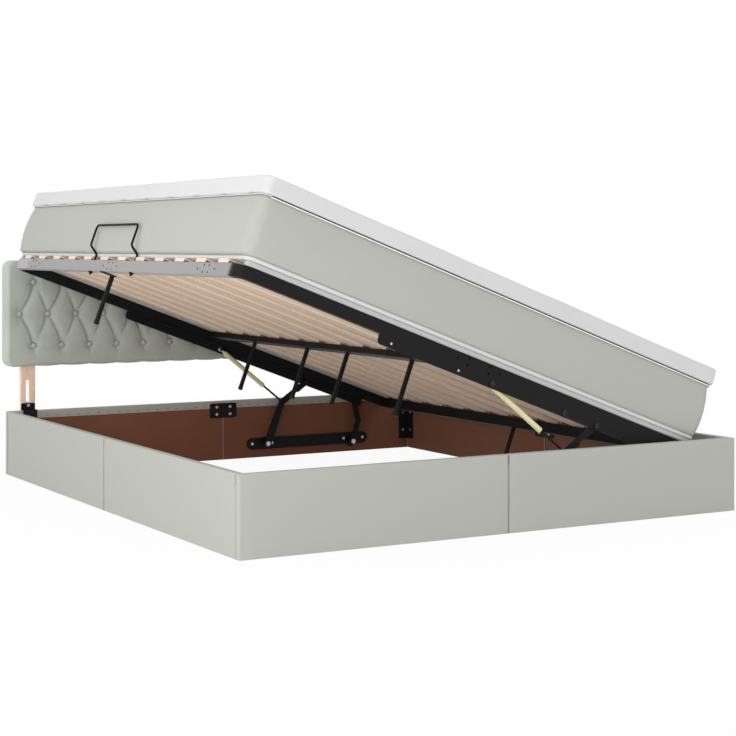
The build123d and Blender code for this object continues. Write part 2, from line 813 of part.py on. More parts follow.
# Slat holders: shallow channels on the bars and the beam
holder_length = frame_bar_width - 2 * slat_tip_gap
holder_starts = (
    (slat_tip_gap, holder_length),
    (beam_place - beam_width / 2, beam_width),
    (platform_width - slat_tip_gap - holder_length, holder_length),
)
holder_width = slat_width + 2 * holder_clearance + 2 * holder_cheek_width
with BuildPart() as slat_holders:
    for start, length in holder_starts:
        middles = [(start, place + slat_width / 2, frame_bar_height) for place in slat_places]
        with BuildSketch(*[lifted(Plane(middle, x_dir=(0, 1, 0), z_dir=(1, 0, 0))) for middle in middles]):
            Rectangle(holder_width, holder_base + holder_cheek_height, align=(Align.CENTER, Align.MIN))
            with Locations((0, holder_base)):
                Rectangle(
                    slat_width + 2 * holder_clearance,
                    holder_cheek_height,
                    align=(Align.CENTER, Align.MIN),
                    mode=Mode.SUBTRACT,
                )
        extrude(amount=length)
slat_holders.part.label = "slat_holders"
export_step(slat_holders.part, "parts/slat_holders.step")

# Support legs: four under the beam, one under the hinge bar and one on a tab of the opening bar
half_platform = platform_length / 2
beam_leg_shares = (-beam_leg_outer_share, -beam_leg_inner_share, beam_leg_inner_share, beam_leg_outer_share)
beam_leg_places = [(beam_place, platform_middle + share * half_platform) for share in beam_leg_shares]
opening_leg = (opening_leg_place, platform_middle + opening_leg_shift)
hinge_leg = (platform_width - frame_bar_width / 2, platform_middle)
beam_underside = frame_bar_height - beam_height
cap_top = -support_leg_reach + support_cap_length
with BuildPart() as support_legs:
    legs = ((beam_leg_places, beam_underside), ([opening_leg], -leg_tab_thickness), ([hinge_leg], 0))
    for places, top in legs:
        with BuildSketch(lifted(Plane.XY.offset(cap_top))):
            with Locations(*places):
                RegularPolygon(support_leg_radius, support_sides)
        extrude(amount=top - cap_top)
    with BuildSketch(lifted(Plane.XY.offset(-leg_tab_thickness))):
        with Locations((slat_tip_gap, opening_leg[1])):
            tab_length = opening_leg_place + support_cap_radius - slat_tip_gap
            Rectangle(tab_length, leg_tab_width, align=(Align.MIN, Align.CENTER))
    extrude(amount=leg_tab_thickness)
support_legs.part.label = "support_legs"
export_step(support_legs.part, "parts/support_legs.step")

with BuildPart() as support_leg_caps:
    with BuildSketch(lifted(Plane.XY.offset(-support_leg_reach))):
        with Locations(*beam_leg_places, opening_leg, hinge_leg):
            RegularPolygon(support_cap_radius, support_sides)
    extrude(amount=support_cap_length)
    soles = support_leg_caps.faces().group_by(Axis(deck.position, Plane(deck).z_dir))[0]
    chamfer(soles.edges(), support_cap_chamfer)
support_leg_caps.part.label = "support_leg_caps"
export_step(support_leg_caps.part, "parts/support_leg_caps.step")

# Mattress retainer: one bent rod through the opening bar
retainer_points = []
for place in retainer_places:
    leg = [
        (retainer_place, place, -retainer_tail),
        (retainer_place, place, retainer_kink_low),
        (-retainer_reach, place, retainer_kink_high),
        (-retainer_reach, place, retainer_height),
    ]
    retainer_points += leg if not retainer_points else leg[::-1]
with BuildPart() as mattress_retainer:
    with BuildLine(Plane(deck)):
        path = FilletPolyline(*retainer_points, radius=retainer_bend)
    with BuildSketch(lifted(Plane(origin=retainer_points[0], x_dir=(1, 0, 0), z_dir=(0, 0, 1)))):
        RegularPolygon(retainer_radius, retainer_sides)
    sweep(path=path)
mattress_retainer.part.label = "mattress_retainer"
export_step(mattress_retainer.part, "parts/mattress_retainer.step")

with BuildPart() as retainer_nuts:
    with BuildSketch(lifted(Plane.XY.offset(-retainer_nut_height))):
        with Locations(*[(retainer_place, place) for place in retainer_places]):
            RegularPolygon(retainer_nut_radius, small_head_sides)
            RegularPolygon(retainer_radius, retainer_sides, mode=Mode.SUBTRACT)
    extrude(amount=retainer_nut_height)
retainer_nuts.part.label = "retainer_nuts"
export_step(retainer_nuts.part, "parts/retainer_nuts.step")


def soft_slab(left, right, near, far, corner, levels):
    """Loft rounded rectangles up through (height, outset) levels of a soft slab."""
    with BuildPart() as slab:
        for height, outset in levels:
            with BuildSketch(lifted(Plane.XY.offset(height))):
                with Locations(((left + right) / 2, (near + far) / 2)):
                    RectangleRounded(right - left + 2 * outset, far - near + 2 * outset, corner + outset)
        loft(ruled=True)
    return slab.part


# Mattress: drawn in at both edges and swelling like a barrel between them
mattress_bottom = slat_bottom + slat_rise + slat_thickness + soft_clearance
swell_start = mattress_bottom + mattress_straight
swell_height = mattress_top - swell_start
mattress_levels = [(mattress_bottom, -mattress_edge_inset), (mattress_bottom + mattress_edge_inset, 0)]
for step in range(swell_steps + 1):
    share = step / swell_steps
    mattress_levels.append((swell_start + share * swell_height, mattress_bulge * math.sin(math.pi * share)))
mattress_near = foot_face + mattress_end_gap
mattress_far = head_face - mattress_end_gap
mattress_edges = (0, mattress_width, mattress_near, mattress_far)
mattress_body = soft_slab(*mattress_edges, mattress_corner, mattress_levels)
groove_depth = retainer_place + retainer_radius + soft_clearance
groove_top = retainer_kink_high
with BuildPart() as mattress_cut:
    add(mattress_body)
    with BuildSketch(lifted(Plane.XY.offset(mattress_bottom))):
        for place in retainer_places:
            with Locations((groove_depth, place)):
                Rectangle(2 * groove_depth, mattress_groove_width, align=(Align.MAX, Align.CENTER))
    extrude(amount=groove_top - mattress_bottom, mode=Mode.SUBTRACT)
mattress = mattress_cut.part
mattress.label = "mattress"
export_step(mattress, "parts/mattress.step")

# Topper: a soft pad that overhangs the mattress a little, with rounded edges
topper_bottom = mattress_top + topper_gap
topper_levels = []
for step in range(edge_steps + 1):
    angle = math.radians(90 * step / edge_steps)
    rise = topper_edge * (1 - math.cos(angle))
    topper_levels.append((topper_bottom + rise, topper_edge * (math.sin(angle) - 1)))
topper_mirror = 2 * topper_bottom + topper_height
topper_levels += [(topper_mirror - height, outset) for height, outset in topper_levels[::-1]]
topper_edges = (
    -topper_overhang,
    mattress_width + topper_overhang,
    mattress_near - topper_overhang,
    mattress_far + topper_overhang,
)
mattress_topper = soft_slab(*topper_edges, topper_corner, topper_levels)
mattress_topper.label = "mattress_topper"
export_step(mattress_topper, "parts/mattress_topper.step")

# Headboard: board, tufted cushion, covered buttons and two slotted legs
headboard_middle = (headboard_bottom + headboard_top) / 2
headboard_height = headboard_top - headboard_bottom
leg_sides = {"left": box_middle - leg_place, "right": box_middle + leg_place}
leg_front = head_face + soft_clearance
leg_back = leg_front + leg_thickness
board_front = leg_back + soft_clearance
with BuildPart() as headboard_board:
    with BuildSketch(Plane.XZ.offset(-board_front)):
        with Locations((box_middle, headboard_middle)):
            RectangleRounded(
                base_width - 2 * headboard_board_inset,
                headboard_height - 2 * headboard_board_inset,
                headboard_corner - headboard_board_inset,
            )
    extrude(amount=-headboard_board_thickness)
headboard_board.part.label = "headboard_board"
export_step(headboard_board.part, "parts/headboard_board.step")

tuft_rows = {
    tuft_row_height - tuft_rise: tuft_columns - 1,
    tuft_row_height: tuft_columns,
    tuft_row_height + tuft_rise: tuft_columns - 1,
}
tuft_half_width = tuft_pitch / 2 - tuft_land
tuft_half_height = tuft_rise / 2 - tuft_land
tuft_slope = math.degrees(math.atan2(tuft_half_height, tuft_half_width))
tuft_side = tuft_half_width * math.sin(math.radians(tuft_slope))


def tuft_wedge(turn):
    """Wedge that narrows towards its floor, turned in the headboard's plane."""
    with BuildPart(Plane(origin=(0, 0, 0), x_dir=(1, 0, 0), z_dir=(0, 0, 1))) as wedge:
        with BuildSketch():
            floor = [(tuft_floor, tuft_depth), (-tuft_floor, tuft_depth)]
            Polygon((-tuft_side, 0), (tuft_side, 0), *floor, align=None)
        extrude(amount=tuft_rise, both=True)
    return wedge.part.rotate(Axis.Y, turn)


# Diamond pit round a button: where two crossed wedges overlap
tuft_pit = tuft_wedge(90 - tuft_slope) & tuft_wedge(tuft_slope - 90)
cushion_front = head_face - headboard_front
cushion_back = board_front + headboard_board_thickness + headboard_back_cover
with BuildPart() as headboard_cushion:
    with BuildSketch(Plane.XZ.offset(-cushion_front)):
        with Locations((box_middle, headboard_middle)):
            RectangleRounded(base_width, headboard_height, headboard_corner)
    extrude(amount=-(cushion_back - cushion_front))
    front_edges = headboard_cushion.faces().sort_by(Axis.Y)[0].edges()
    chamfer(front_edges, headboard_edge)
    for height, columns in tuft_rows.items():
        with Locations((box_middle, cushion_front, height)):
            with GridLocations(tuft_pitch, tuft_rise, columns, 1):
                add(tuft_pit, mode=Mode.SUBTRACT)
    with BuildSketch(Plane.XZ.offset(-(board_front - soft_clearance))):
        with Locations((box_middle, headboard_middle)):
            RectangleRounded(
                base_width - 2 * headboard_board_inset + 2 * soft_clearance,
                headboard_height - 2 * headboard_board_inset + 2 * soft_clearance,
                headboard_corner - headboard_board_inset + soft_clearance,
            )
    extrude(amount=-(cushion_back - board_front + soft_clearance), mode=Mode.SUBTRACT)
    with BuildSketch(Plane.XZ.offset(-(leg_front - soft_clearance))):
        with Locations(*[(x, 0) for x in leg_sides.values()]):
            slot_size = (leg_width + 2 * soft_clearance, leg_top + soft_clearance)
            Rectangle(*slot_size, align=(Align.CENTER, Align.MIN))
    extrude(amount=-(leg_thickness + 2 * soft_clearance), mode=Mode.SUBTRACT)
headboard_cushion.part.label = "headboard_cushion"
export_step(headboard_cushion.part, "parts/headboard_cushion.step")

button_floor = cushion_front + tuft_depth - soft_clearance
with BuildPart() as headboard_buttons:
    for height, columns in tuft_rows.items():
        with BuildSketch(Plane.XZ.offset(-button_floor)):
            with Locations((box_middle, height)):
                with GridLocations(tuft_pitch, tuft_rise, columns, 1):
                    RegularPolygon(button_radius, button_sides)
    extrude(amount=button_height)
headboard_buttons.part.label = "headboard_buttons"
export_step(headboard_buttons.part, "parts/headboard_buttons.step")

slot_top = slot_bottom + slot_width + height_travel
bolt_height = slot_bottom + slot_width / 2
for side, x in leg_sides.items():
    with BuildPart() as headboard_leg:
        with BuildSketch(Plane.XZ.offset(-leg_front)):
            with Locations((x, leg_bottom)):
                Rectangle(leg_width, leg_top - leg_bottom, align=(Align.CENTER, Align.MIN))
            with Locations((x, (slot_bottom + slot_top) / 2)):
                SlotOverall(slot_top - slot_bottom, slot_width, rotation=90, mode=Mode.SUBTRACT)
        extrude(amount=-leg_thickness)
        uprights = headboard_leg.edges().filter_by(Axis.Z).group_by(Axis.X)
        chamfer(uprights[0] + uprights[-1], leg_corner_chamfer)
    name = f"headboard_leg_{side}"
    headboard_leg.part.label = name
    export_step(headboard_leg.part, f"parts/{name}.step")

    # Clamp bracket: down inside the head panel, over its top and up in front of the leg
    web_z = base_height
    inner_y = head_face - panel_thickness - clamp_bracket_thickness
    with BuildPart() as leg_bracket:
        with BuildSketch(Plane.YZ.offset(x - clamp_bracket_width / 2)):
            with BuildLine():
                Polyline(
                    (inner_y, web_z - clamp_bracket_drop),
                    (inner_y + clamp_bracket_thickness, web_z - clamp_bracket_drop),
                    (inner_y + clamp_bracket_thickness, web_z),
                    (head_face, web_z),
                    (head_face, web_z + clamp_bracket_rise),
                    (head_face - clamp_bracket_thickness, web_z + clamp_bracket_rise),
                    (head_face - clamp_bracket_thickness, web_z + clamp_bracket_thickness),
                    (inner_y, web_z + clamp_bracket_thickness),
                    close=True,
                )
            make_face()
        extrude(amount=clamp_bracket_width)
        corners = leg_bracket.edges().filter_by(Axis.Y).group_by(Axis.Z)[-1]
        fillet(corners, clamp_corner)
        with BuildSketch(Plane.XZ.offset(-head_face)):
            with Locations((x, bolt_height)):
                RegularPolygon(clamp_bolt_radius, round_head_sides)
        extrude(amount=clamp_bracket_thickness, mode=Mode.SUBTRACT)
    name = f"leg_bracket_{side}"
    leg_bracket.part.label = name
    export_step(leg_bracket.part, f"parts/{name}.step")

with BuildPart() as clamp_bolts:
    shank = clamp_bracket_thickness + soft_clearance + leg_thickness + clamp_bolt_reach
    front = head_face - clamp_bracket_thickness
    bolt_places = [(x, bolt_height) for x in leg_sides.values()]
    with BuildSketch(Plane.XZ.offset(-front)):
        with Locations(*bolt_places):
            RegularPolygon(clamp_bolt_radius, round_head_sides)
    extrude(amount=-shank)
    with BuildSketch(Plane.XZ.offset(-front)):
        with Locations(*bolt_places):
            RegularPolygon(clamp_head_radius, round_head_sides)
    extrude(amount=clamp_head_height)
    with BuildSketch(Plane.XZ.offset(-(leg_back + soft_clearance))):
        with Locations(*bolt_places):
            RegularPolygon(clamp_washer_radius, round_head_sides)
    extrude(amount=-clamp_head_height)
clamp_bolts.part.label = "clamp_bolts"
export_step(clamp_bolts.part, "parts/clamp_bolts.step")

with BuildPart() as headboard_screws:
    with BuildSketch(Plane.XZ.offset(-(board_front + headboard_board_thickness))):
        for x in leg_sides.values():
            with Locations((x, (headboard_bottom + leg_top) / 2)):
                with GridLocations(leg_width / 2, (leg_top - headboard_bottom) / 2, 1, 2):
                    RegularPolygon(leg_screw_radius, small_head_sides)
    extrude(amount=-headboard_back_cover)
headboard_screws.part.label = "headboard_screws"
export_step(headboard_screws.part, "parts/headboard_screws.step")
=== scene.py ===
"""Storage bed with a lifted platform: velvet covers, mattress, topper and tufted headboard."""
import math

import bmesh
import bpy
from bpy.props import FloatProperty, FloatVectorProperty, IntProperty, PointerProperty
from bpy.types import Operator, Panel, PropertyGroup
from mathutils import Matrix, Vector, noise


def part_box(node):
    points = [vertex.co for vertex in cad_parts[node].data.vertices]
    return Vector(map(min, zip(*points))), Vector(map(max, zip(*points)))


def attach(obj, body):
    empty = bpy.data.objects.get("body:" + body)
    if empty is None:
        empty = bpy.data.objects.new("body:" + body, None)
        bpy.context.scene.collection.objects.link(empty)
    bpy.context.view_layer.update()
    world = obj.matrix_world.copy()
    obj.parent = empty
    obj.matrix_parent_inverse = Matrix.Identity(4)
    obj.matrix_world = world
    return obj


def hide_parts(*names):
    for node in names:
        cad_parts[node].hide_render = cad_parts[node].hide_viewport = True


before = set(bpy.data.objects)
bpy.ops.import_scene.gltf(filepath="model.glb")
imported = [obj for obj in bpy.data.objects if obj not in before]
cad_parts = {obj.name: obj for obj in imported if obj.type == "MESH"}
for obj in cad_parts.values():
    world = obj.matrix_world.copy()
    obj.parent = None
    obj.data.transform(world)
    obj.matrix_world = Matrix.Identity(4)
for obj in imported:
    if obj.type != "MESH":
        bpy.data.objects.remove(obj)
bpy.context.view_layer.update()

bl_info = {
    "name": "Storage bed",
    "version": (1, 0, 0),
    "blender": (4, 5, 0),
    "location": "View3D > Sidebar > Storage bed",
    "description": "Velvet covers, mattress, topper, tufted headboard and finishes of a bed",
    "category": "Add Mesh",
}

NEAR = 0.001  # Selects what lies on a face or an edge
UP = Vector((0, 0, 1))
OUTWARD = {
    "foot": Vector((0, -1, 0)),
    "hinge": Vector((1, 0, 0)),
    "head": Vector((0, 1, 0)),
    "opening": Vector((-1, 0, 0)),
}


def distance(default, description):
    return FloatProperty(
        description=description, default=default, min=0.0, unit="LENGTH", precision=4
    )


def colour(default, description):
    return FloatVectorProperty(
        description=description, default=default, min=0.0, max=1.0, subtype="COLOR"
    )


class BED_PG_covers(PropertyGroup):
    lip: distance(0.030, "How far the velvet turns down inside the board")
    fold: distance(0.004, "Roundness of the velvet over a board's upper edge")
    seam_fold: distance(0.0044, "Roundness of the velvet where two covers meet")
    cloth: distance(0.0008, "Thickness of the velvet")
    ripple: distance(0.0009, "Depth of the velvet's faint waves")
    staple_pitch: distance(0.042, "From one staple to the next along the lip")
    staple_width: distance(0.011, "Length of a staple's crown")
    staple_wire: distance(0.0013, "Thickness of a staple's wire")


class BED_PG_mattress(PropertyGroup):
    tilt: FloatProperty(
        description="Angle of the lifted platform", default=math.radians(20.25), subtype="ANGLE"
    )
    bar_height: distance(0.038, "Height of the platform's frame bars")
    # The cream band is a painted highlight; above it the sides are painted tan as the gap's shade
    slat_highlight_top: distance(0.048, "Top of the cream band on the slats' sides")
    band_low: distance(0.0545, "From the platform's underside to the white band")
    border_low: distance(0.0670, "Lower edge of the velvet border")
    border_high: distance(0.249, "Upper edge of the velvet border")
    width: distance(1.768, "Width of the mattress between its flat sides")
    bulge: distance(0.012, "How far the border swells out at its middle")
    corner: distance(0.030, "Radius of the upright corners")
    band_inset: distance(0.0115, "Band behind the border at the opening side")
    roll_low: distance(0.0387, "Underside of the light roll over the end bars")
    roll_high: distance(0.0540, "Top of the light roll over the end bars")
    roll_depth: distance(0.026, "How far the roll reaches over an end bar")
    roll_inset: distance(0.018, "From the platform's sides to the roll's ends")
    # The seam is a near-black cord, painted shadow in the gap under the topper
    seam: distance(0.0018, "Radius of the dark seam under the topper")
    piping: distance(0.0021, "Radius of the white piping below the seam")
    topper_gap: distance(0.0005, "Between the mattress and the topper")
    topper_height: distance(0.055, "Thickness of the topper")
    topper_edge: distance(0.005, "Radius of the topper's edges")
    topper_corner: distance(0.028, "Radius of the topper's upright corners")
    tack_pitch: distance(0.190, "From one gap under the topper's edge to the next")
    tack_lift: distance(0.0035, "Height of the gaps under the topper's edge")
    quilt_pitch: distance(0.150, "From one sewn channel to the next")
    quilt_depth: distance(0.0035, "Depth of the sewn channels")


class BED_PG_headboard(PropertyGroup):
    grid: distance(0.0038, "Spacing of the cushion's mesh")
    edge: distance(0.015, "Radius of the cushion's front edge")
    corner: distance(0.032, "Radius of the cushion's corners")
    pitch: distance(0.115, "From one button to the next in a row")
    rise: distance(0.123, "From one row of buttons to the next")
    row: distance(0.613, "Height of the middle row of buttons")
    columns: IntProperty(description="Buttons in the middle row", default=16, min=2)
    puff: distance(0.0100, "Height of the padding between the pleats")
    pit: distance(0.0120, "Depth of the pit round a button")
    deepest: distance(0.0170, "How far the padding can be pulled in")
    pleat: distance(0.0042, "Depth of a pleat between two buttons")
    button: distance(0.0120, "Radius of a covered button")
    lining_inset: distance(0.014, "From the outline to the lining on the back")


class BED_PG_colours(PropertyGroup):
    velvet: colour((0.470, 0.510, 0.462), "Grey-green velvet")
    # Painted light: the velvet a few percent lighter, making up for the shade on the headboard
    headboard: colour((0.494, 0.530, 0.482), "The velvet, less shaded")
    white: colour((0.690, 0.692, 0.690), "Cloth of topper and band")
    roll: colour((0.520, 0.526, 0.516), "Light grey cloth over the end bars")
    # Painted light: much whiter than the topper's cloth, to stay bright in the topper's shadow
    piping: colour((0.920, 0.920, 0.915), "Piping round the mattress's upper edge")
    lining: colour((0.030, 0.030, 0.032), "Dust cloth on the headboard's back")
    plywood: colour((0.215, 0.086, 0.048), "Bare inside of the boards")
    beech: colour((0.950, 0.690, 0.550), "Headboard legs")
    slat_under: colour((0.910, 0.672, 0.500), "Undersides of the slats")
    # Painted highlight: near white, lighter than the wood, for the lit sides
    slat_side_painted_highlight: colour((0.980, 0.880, 0.740), "Lower part of the slats' sides")
    slat_end: colour((0.820, 0.650, 0.540), "Ends of the slats")
    steel: colour((0.008, 0.008, 0.009), "Powder-coated steel")
    # Painted reflection: the grey of bright surroundings on the black opening bar's long face
    bar_painted_reflection: colour((0.450, 0.446, 0.448), "Long face of the opening bar")
    # Painted shade: brown like the slats' sides in shade, which the holders stand in for
    holder: colour((0.300, 0.190, 0.130), "Plastic slat holders")
    strut: colour((0.780, 0.740, 0.420), "Gas strut barrels")
    zinc: colour((0.560, 0.560, 0.550), "Bright bolts and screws")
    floor: colour((0.880, 0.880, 0.880), "Floor under the bed")


class BED_PG_settings(PropertyGroup):
    covers: PointerProperty(type=BED_PG_covers)
    mattress: PointerProperty(type=BED_PG_mattress)
    headboard: PointerProperty(type=BED_PG_headboard)
    colours: PointerProperty(type=BED_PG_colours)


# Working with pieces


def clear_selection():
    bpy.ops.object.select_all(action="DESELECT")


def take(*pieces):
    """Select these pieces only."""
    clear_selection()
    for piece in pieces:
        piece.select_set(True)
    bpy.context.view_layer.objects.active = pieces[0]


def settle(piece):
    """Move a piece's place, turn and scale into its mesh."""
    take(piece)
    bpy.ops.object.transform_apply(location=True, rotation=True, scale=True)


def named(name):
    piece = bpy.context.object
    piece.name = piece.data.name = name
    return piece


def block(name, low, high):
    """A cube sized and placed between two corners, ready to be shaped."""
    clear_selection()
    bpy.ops.mesh.primitive_cube_add(size=1, location=(Vector(low) + Vector(high)) / 2)
    piece = named(name)
    piece.scale = Vector(high) - Vector(low)
    settle(piece)
    return piece


def copy_of(piece, name, shift):
    """A copy with its own mesh, moved by shift."""
    take(piece)
    bpy.ops.object.duplicate(linked=False)
    bpy.ops.transform.translate(value=shift)
    made = named(name)
    settle(made)
    return made


def join(pieces, name):
    take(*pieces)
    bpy.ops.object.join()
    return named(name)


def with_modifier(piece, kind, **settings):
    """Add a modifier, set it and apply it."""
    take(piece)
    modifier = piece.modifiers.new(kind.title(), kind)
    for key, value in settings.items():
        setattr(modifier, key, value)
    bpy.ops.object.modifier_apply(modifier=modifier.name)


def smooth(piece, degrees=40):
    take(piece)
    bpy.ops.object.shade_smooth_by_angle(angle=math.radians(degrees))


def dress(piece, *materials):
    """Give a piece its materials, by name."""
    for name in materials:
        piece.data.materials.append(bpy.data.materials[name])


def hand_over(piece, body, slot=None, *stands_for):
    """Give a shaped piece its body and hide the nodes it stands for. The slot is not used."""
    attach(piece, body)
    if stands_for:
        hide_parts(*stands_for)


class Shaping:
    """Edit mode on one piece. Parts are selected by a test on their place and normal."""

    def __init__(self, piece):
        self.piece = piece

    def __enter__(self):
        take(self.piece)
        bpy.ops.object.mode_set(mode="EDIT")
        bpy.ops.mesh.select_all(action="DESELECT")
        return self

    def __exit__(self, *_):
        bpy.ops.object.mode_set(mode="OBJECT")

    def pick(self, kind, test):
        """Select the faces or the edges that pass a test."""
        bpy.ops.mesh.select_all(action="DESELECT")
        bpy.ops.mesh.select_mode(type=kind)
        mesh = bmesh.from_edit_mesh(self.piece.data)
        for part in mesh.faces if kind == "FACE" else mesh.edges:
            part.select_set(bool(test(part)))
        bmesh.update_edit_mesh(self.piece.data)

    def faces(self, test):
        """Select faces by their middle and normal."""
        self.pick("FACE", lambda face: test(face.calc_center_median(), face.normal))

    def edges(self, test):
        """Select edges by their two ends."""
        self.pick("EDGE", lambda edge: test(edge.verts[0].co, edge.verts[1].co))

    def rim(self):
        """Select the open edges."""
        self.pick("EDGE", lambda edge: edge.is_boundary)

    def slice(self, place, normal):
        """Cut every face along a plane, keeping both sides."""
        bpy.ops.mesh.select_all(action="SELECT")
        bpy.ops.mesh.bisect(plane_co=place, plane_no=normal)

    def slices(self, axis, low, high, pitch):
        """Cut evenly along an axis, at about this pitch."""
        count = max(1, round((high - low) / pitch))
        normal = Vector((axis == 0, axis == 1, axis == 2))
        for step in range(1, count):
            self.slice(normal * (low + (high - low) * step / count), normal)

    def level_cuts(self, low, high, shares):
        """Cut level at these shares of a height."""
        for share in shares:
            self.slice((0, 0, low + share * (high - low)), UP)

    def bevel(self, radius, segments):
        bpy.ops.mesh.bevel(offset=radius, segments=segments, affect="EDGES")


def upright(first, second):
    return abs(first.x - second.x) < 1e-6 and abs(first.y - second.y) < 1e-6


def at_height(first, second, height):
    return abs(first.z - height) < 1e-5 and abs(second.z - height) < 1e-5


def ease(value, low, high):
    """0 below low, 1 above high, smooth between."""
    share = min(1.0, max(0.0, (value - low) / (high - low)))
    return share * share * (3 - 2 * share)


def hill(value, width):
    """1 at zero, falling away to both sides over about this width."""
    return math.exp(-((value / width) ** 2))


def quarter_round(share):
    """From 0 to 1 along a quarter of a circle."""
    return 1 - math.sqrt(max(0.0, 1 - share ** 2))


def wave(place, size, seed=0.0):
    """Smooth noise of about this wavelength, from -1 to 1."""
    return noise.noise(Vector(place) / size + Vector((seed, seed * 1.7, -seed)))


def dot(first, second):
    return sum(a * b for a, b in zip(first, second))


# Shaders

MIX_FIRST, MIX_SECOND, MIX_RESULT = 6, 7, 2  # A Mix node's colour sockets share their names


class Wire:
    """A value in a shader. Sums on it add Math nodes."""

    def __init__(self, wiring, socket):
        self.wiring, self.socket = wiring, socket

    def __add__(self, other):
        return self.wiring.sum("ADD", self, other)

    def __mul__(self, other):
        return self.wiring.sum("MULTIPLY", self, other)

    def __sub__(self, other):
        return self.wiring.sum("SUBTRACT", self, other)

    def __rsub__(self, other):
        return self.wiring.sum("SUBTRACT", other, self)

    __radd__, __rmul__ = __add__, __mul__


class Wiring:
    """A node tree, of a material or of the world."""

    def __init__(self, tree):
        self.tree = tree

    def node(self, kind, inputs=None, output=0, **settings):
        """Add a node, set it, feed its inputs, and return one of its outputs."""
        made = self.tree.nodes.new(kind)
        for key, value in settings.items():
            setattr(made, key, value)
        for key, value in (inputs or {}).items():
            self.feed(made.inputs[key], value)
        return Wire(self, made.outputs[output])

    def feed(self, socket, value):
        if isinstance(value, Wire):
            self.tree.links.new(value.socket, socket)
        else:
            socket.default_value = value

    def sum(self, operation, first, second):
        return self.node("ShaderNodeMath", {0: first, 1: second}, operation=operation)

    def either(self, first, second):
        """The larger of two values."""
        return self.sum("MAXIMUM", first, second)

    def seen(self):
        """1 for rays of the camera and of mirrors and glass, 0 for light."""
        camera, glossy, transmission = (
            self.node("ShaderNodeLightPath", output=f"Is {kind} Ray")
            for kind in ("Camera", "Glossy", "Transmission")
        )
        return self.sum("MINIMUM", camera + glossy + transmission, 1.0)


class Finish(Wiring):
    """A material in the making. Constants go by the names of the shader's sockets."""

    def __init__(self, name, **constants):
        self.material = bpy.data.materials.new(name)
        self.material.use_nodes = True
        super().__init__(self.material.node_tree)
        self.shader = self.tree.nodes["Principled BSDF"]
        for key, value in constants.items():
            socket = key.replace("_", " ").title().replace("Ior", "IOR")
            self.shader.inputs[socket].default_value = value
        self.place = self.node("ShaderNodeTexCoord", output="Object")
        self.normal = self.node("ShaderNodeTexCoord", output="Normal")

    def between(self, value, low, high):
        """0 below low, 1 above high, smooth between."""
        inputs = {"Value": value, "From Min": low, "From Max": high}
        return self.node("ShaderNodeMapRange", inputs, interpolation_type="SMOOTHSTEP")

    def mix(self, amount, first, second):
        """From one colour to another."""
        inputs = {0: amount, MIX_FIRST: self.shade(first), MIX_SECOND: self.shade(second)}
        return self.node("ShaderNodeMix", inputs, MIX_RESULT, data_type="RGBA")

    def tint(self, shade, strength):
        """A colour made lighter or darker by a value round 1."""
        inputs = {0: self.shade(shade, 3), "Scale": strength}
        return self.node("ShaderNodeVectorMath", inputs, operation="SCALE")

    def shade(self, value, length=4):
        return value if isinstance(value, Wire) else (*tuple(value)[:3], 1.0)[:length]

    def speckle(self, scale, detail=2.0, distortion=0.0, place=None, roughness=0.5):
        """Noise from 0 to 1."""
        inputs = {"Vector": place or self.place, "Scale": scale, "Detail": detail}
        inputs |= {"Roughness": roughness, "Distortion": distortion}
        return self.node("ShaderNodeTexNoise", inputs)

    def threads(self, direction, scale):
        """Fine parallel threads."""
        inputs = {"Vector": self.place, "Scale": scale, "Distortion": 2.0, "Detail": 1.0}
        return self.node("ShaderNodeTexWave", inputs, bands_direction=direction)

    def stretched(self, scale, turn=(0.0, 0.0, 0.0)):
        """Coordinates turned and stretched, for grain."""
        inputs = {"Vector": self.place, "Rotation": turn, "Scale": scale}
        return self.node("ShaderNodeMapping", inputs, vector_type="TEXTURE")

    def component(self, value, direction):
        inputs = {0: value, 1: direction}
        return self.node("ShaderNodeVectorMath", inputs, "Value", operation="DOT_PRODUCT")

    def facing(self, direction):
        """How far the surface faces a direction, from -1 to 1."""
        return self.component(self.normal, direction)

    def along(self, direction):
        """Distance of a point along a direction."""
        return self.component(self.place, direction)

    def done(self, colour, roughness=None, height=None, depth=None, strength=None):
        """Wire up the surface and return the material. A height brings a roughness and a bump."""
        sockets = self.shader.inputs
        self.feed(sockets["Base Color"], self.shade(colour))
        if height:
            inputs = {"Height": height, "Distance": depth, "Strength": strength}
            self.feed(sockets["Roughness"], roughness)
            self.feed(sockets["Normal"], self.node("ShaderNodeBump", inputs))
        return self.material


def velvet_cloth(name, shade, patchy=1.0, side_painted_shade=1.0):
    """Velvet in soft patches. Where it turns away from the front, painted shade darkens it by the
    given factor.
    """
    made = Finish(name, sheen_weight=0.22, sheen_roughness=0.45, specular_ior_level=0.12)
    clouds = made.between(made.speckle(2.4, 2.0, 1.2, roughness=0.45), 0.40, 0.60)
    patches = made.between(made.speckle(7.0, 2.0, 1.6), 0.42, 0.58)
    pile = made.speckle(900.0, 2.0)
    strength = (
        1.0 - 0.150 * patchy + clouds * (0.140 * patchy) + patches * (0.110 * patchy) + pile * 0.03
    )
    # Painted shade on the sides, giving the dark ring round a button
    if side_painted_shade < 1.0:
        front = made.between(made.facing(OUTWARD["foot"]), 0.68, 0.92)
        strength = strength * (side_painted_shade + front * (1.0 - side_painted_shade))
    return made.done(
        made.tint(shade, strength), 0.80 + pile * 0.15, pile + patches * 0.3, 0.0006, 0.30
    )


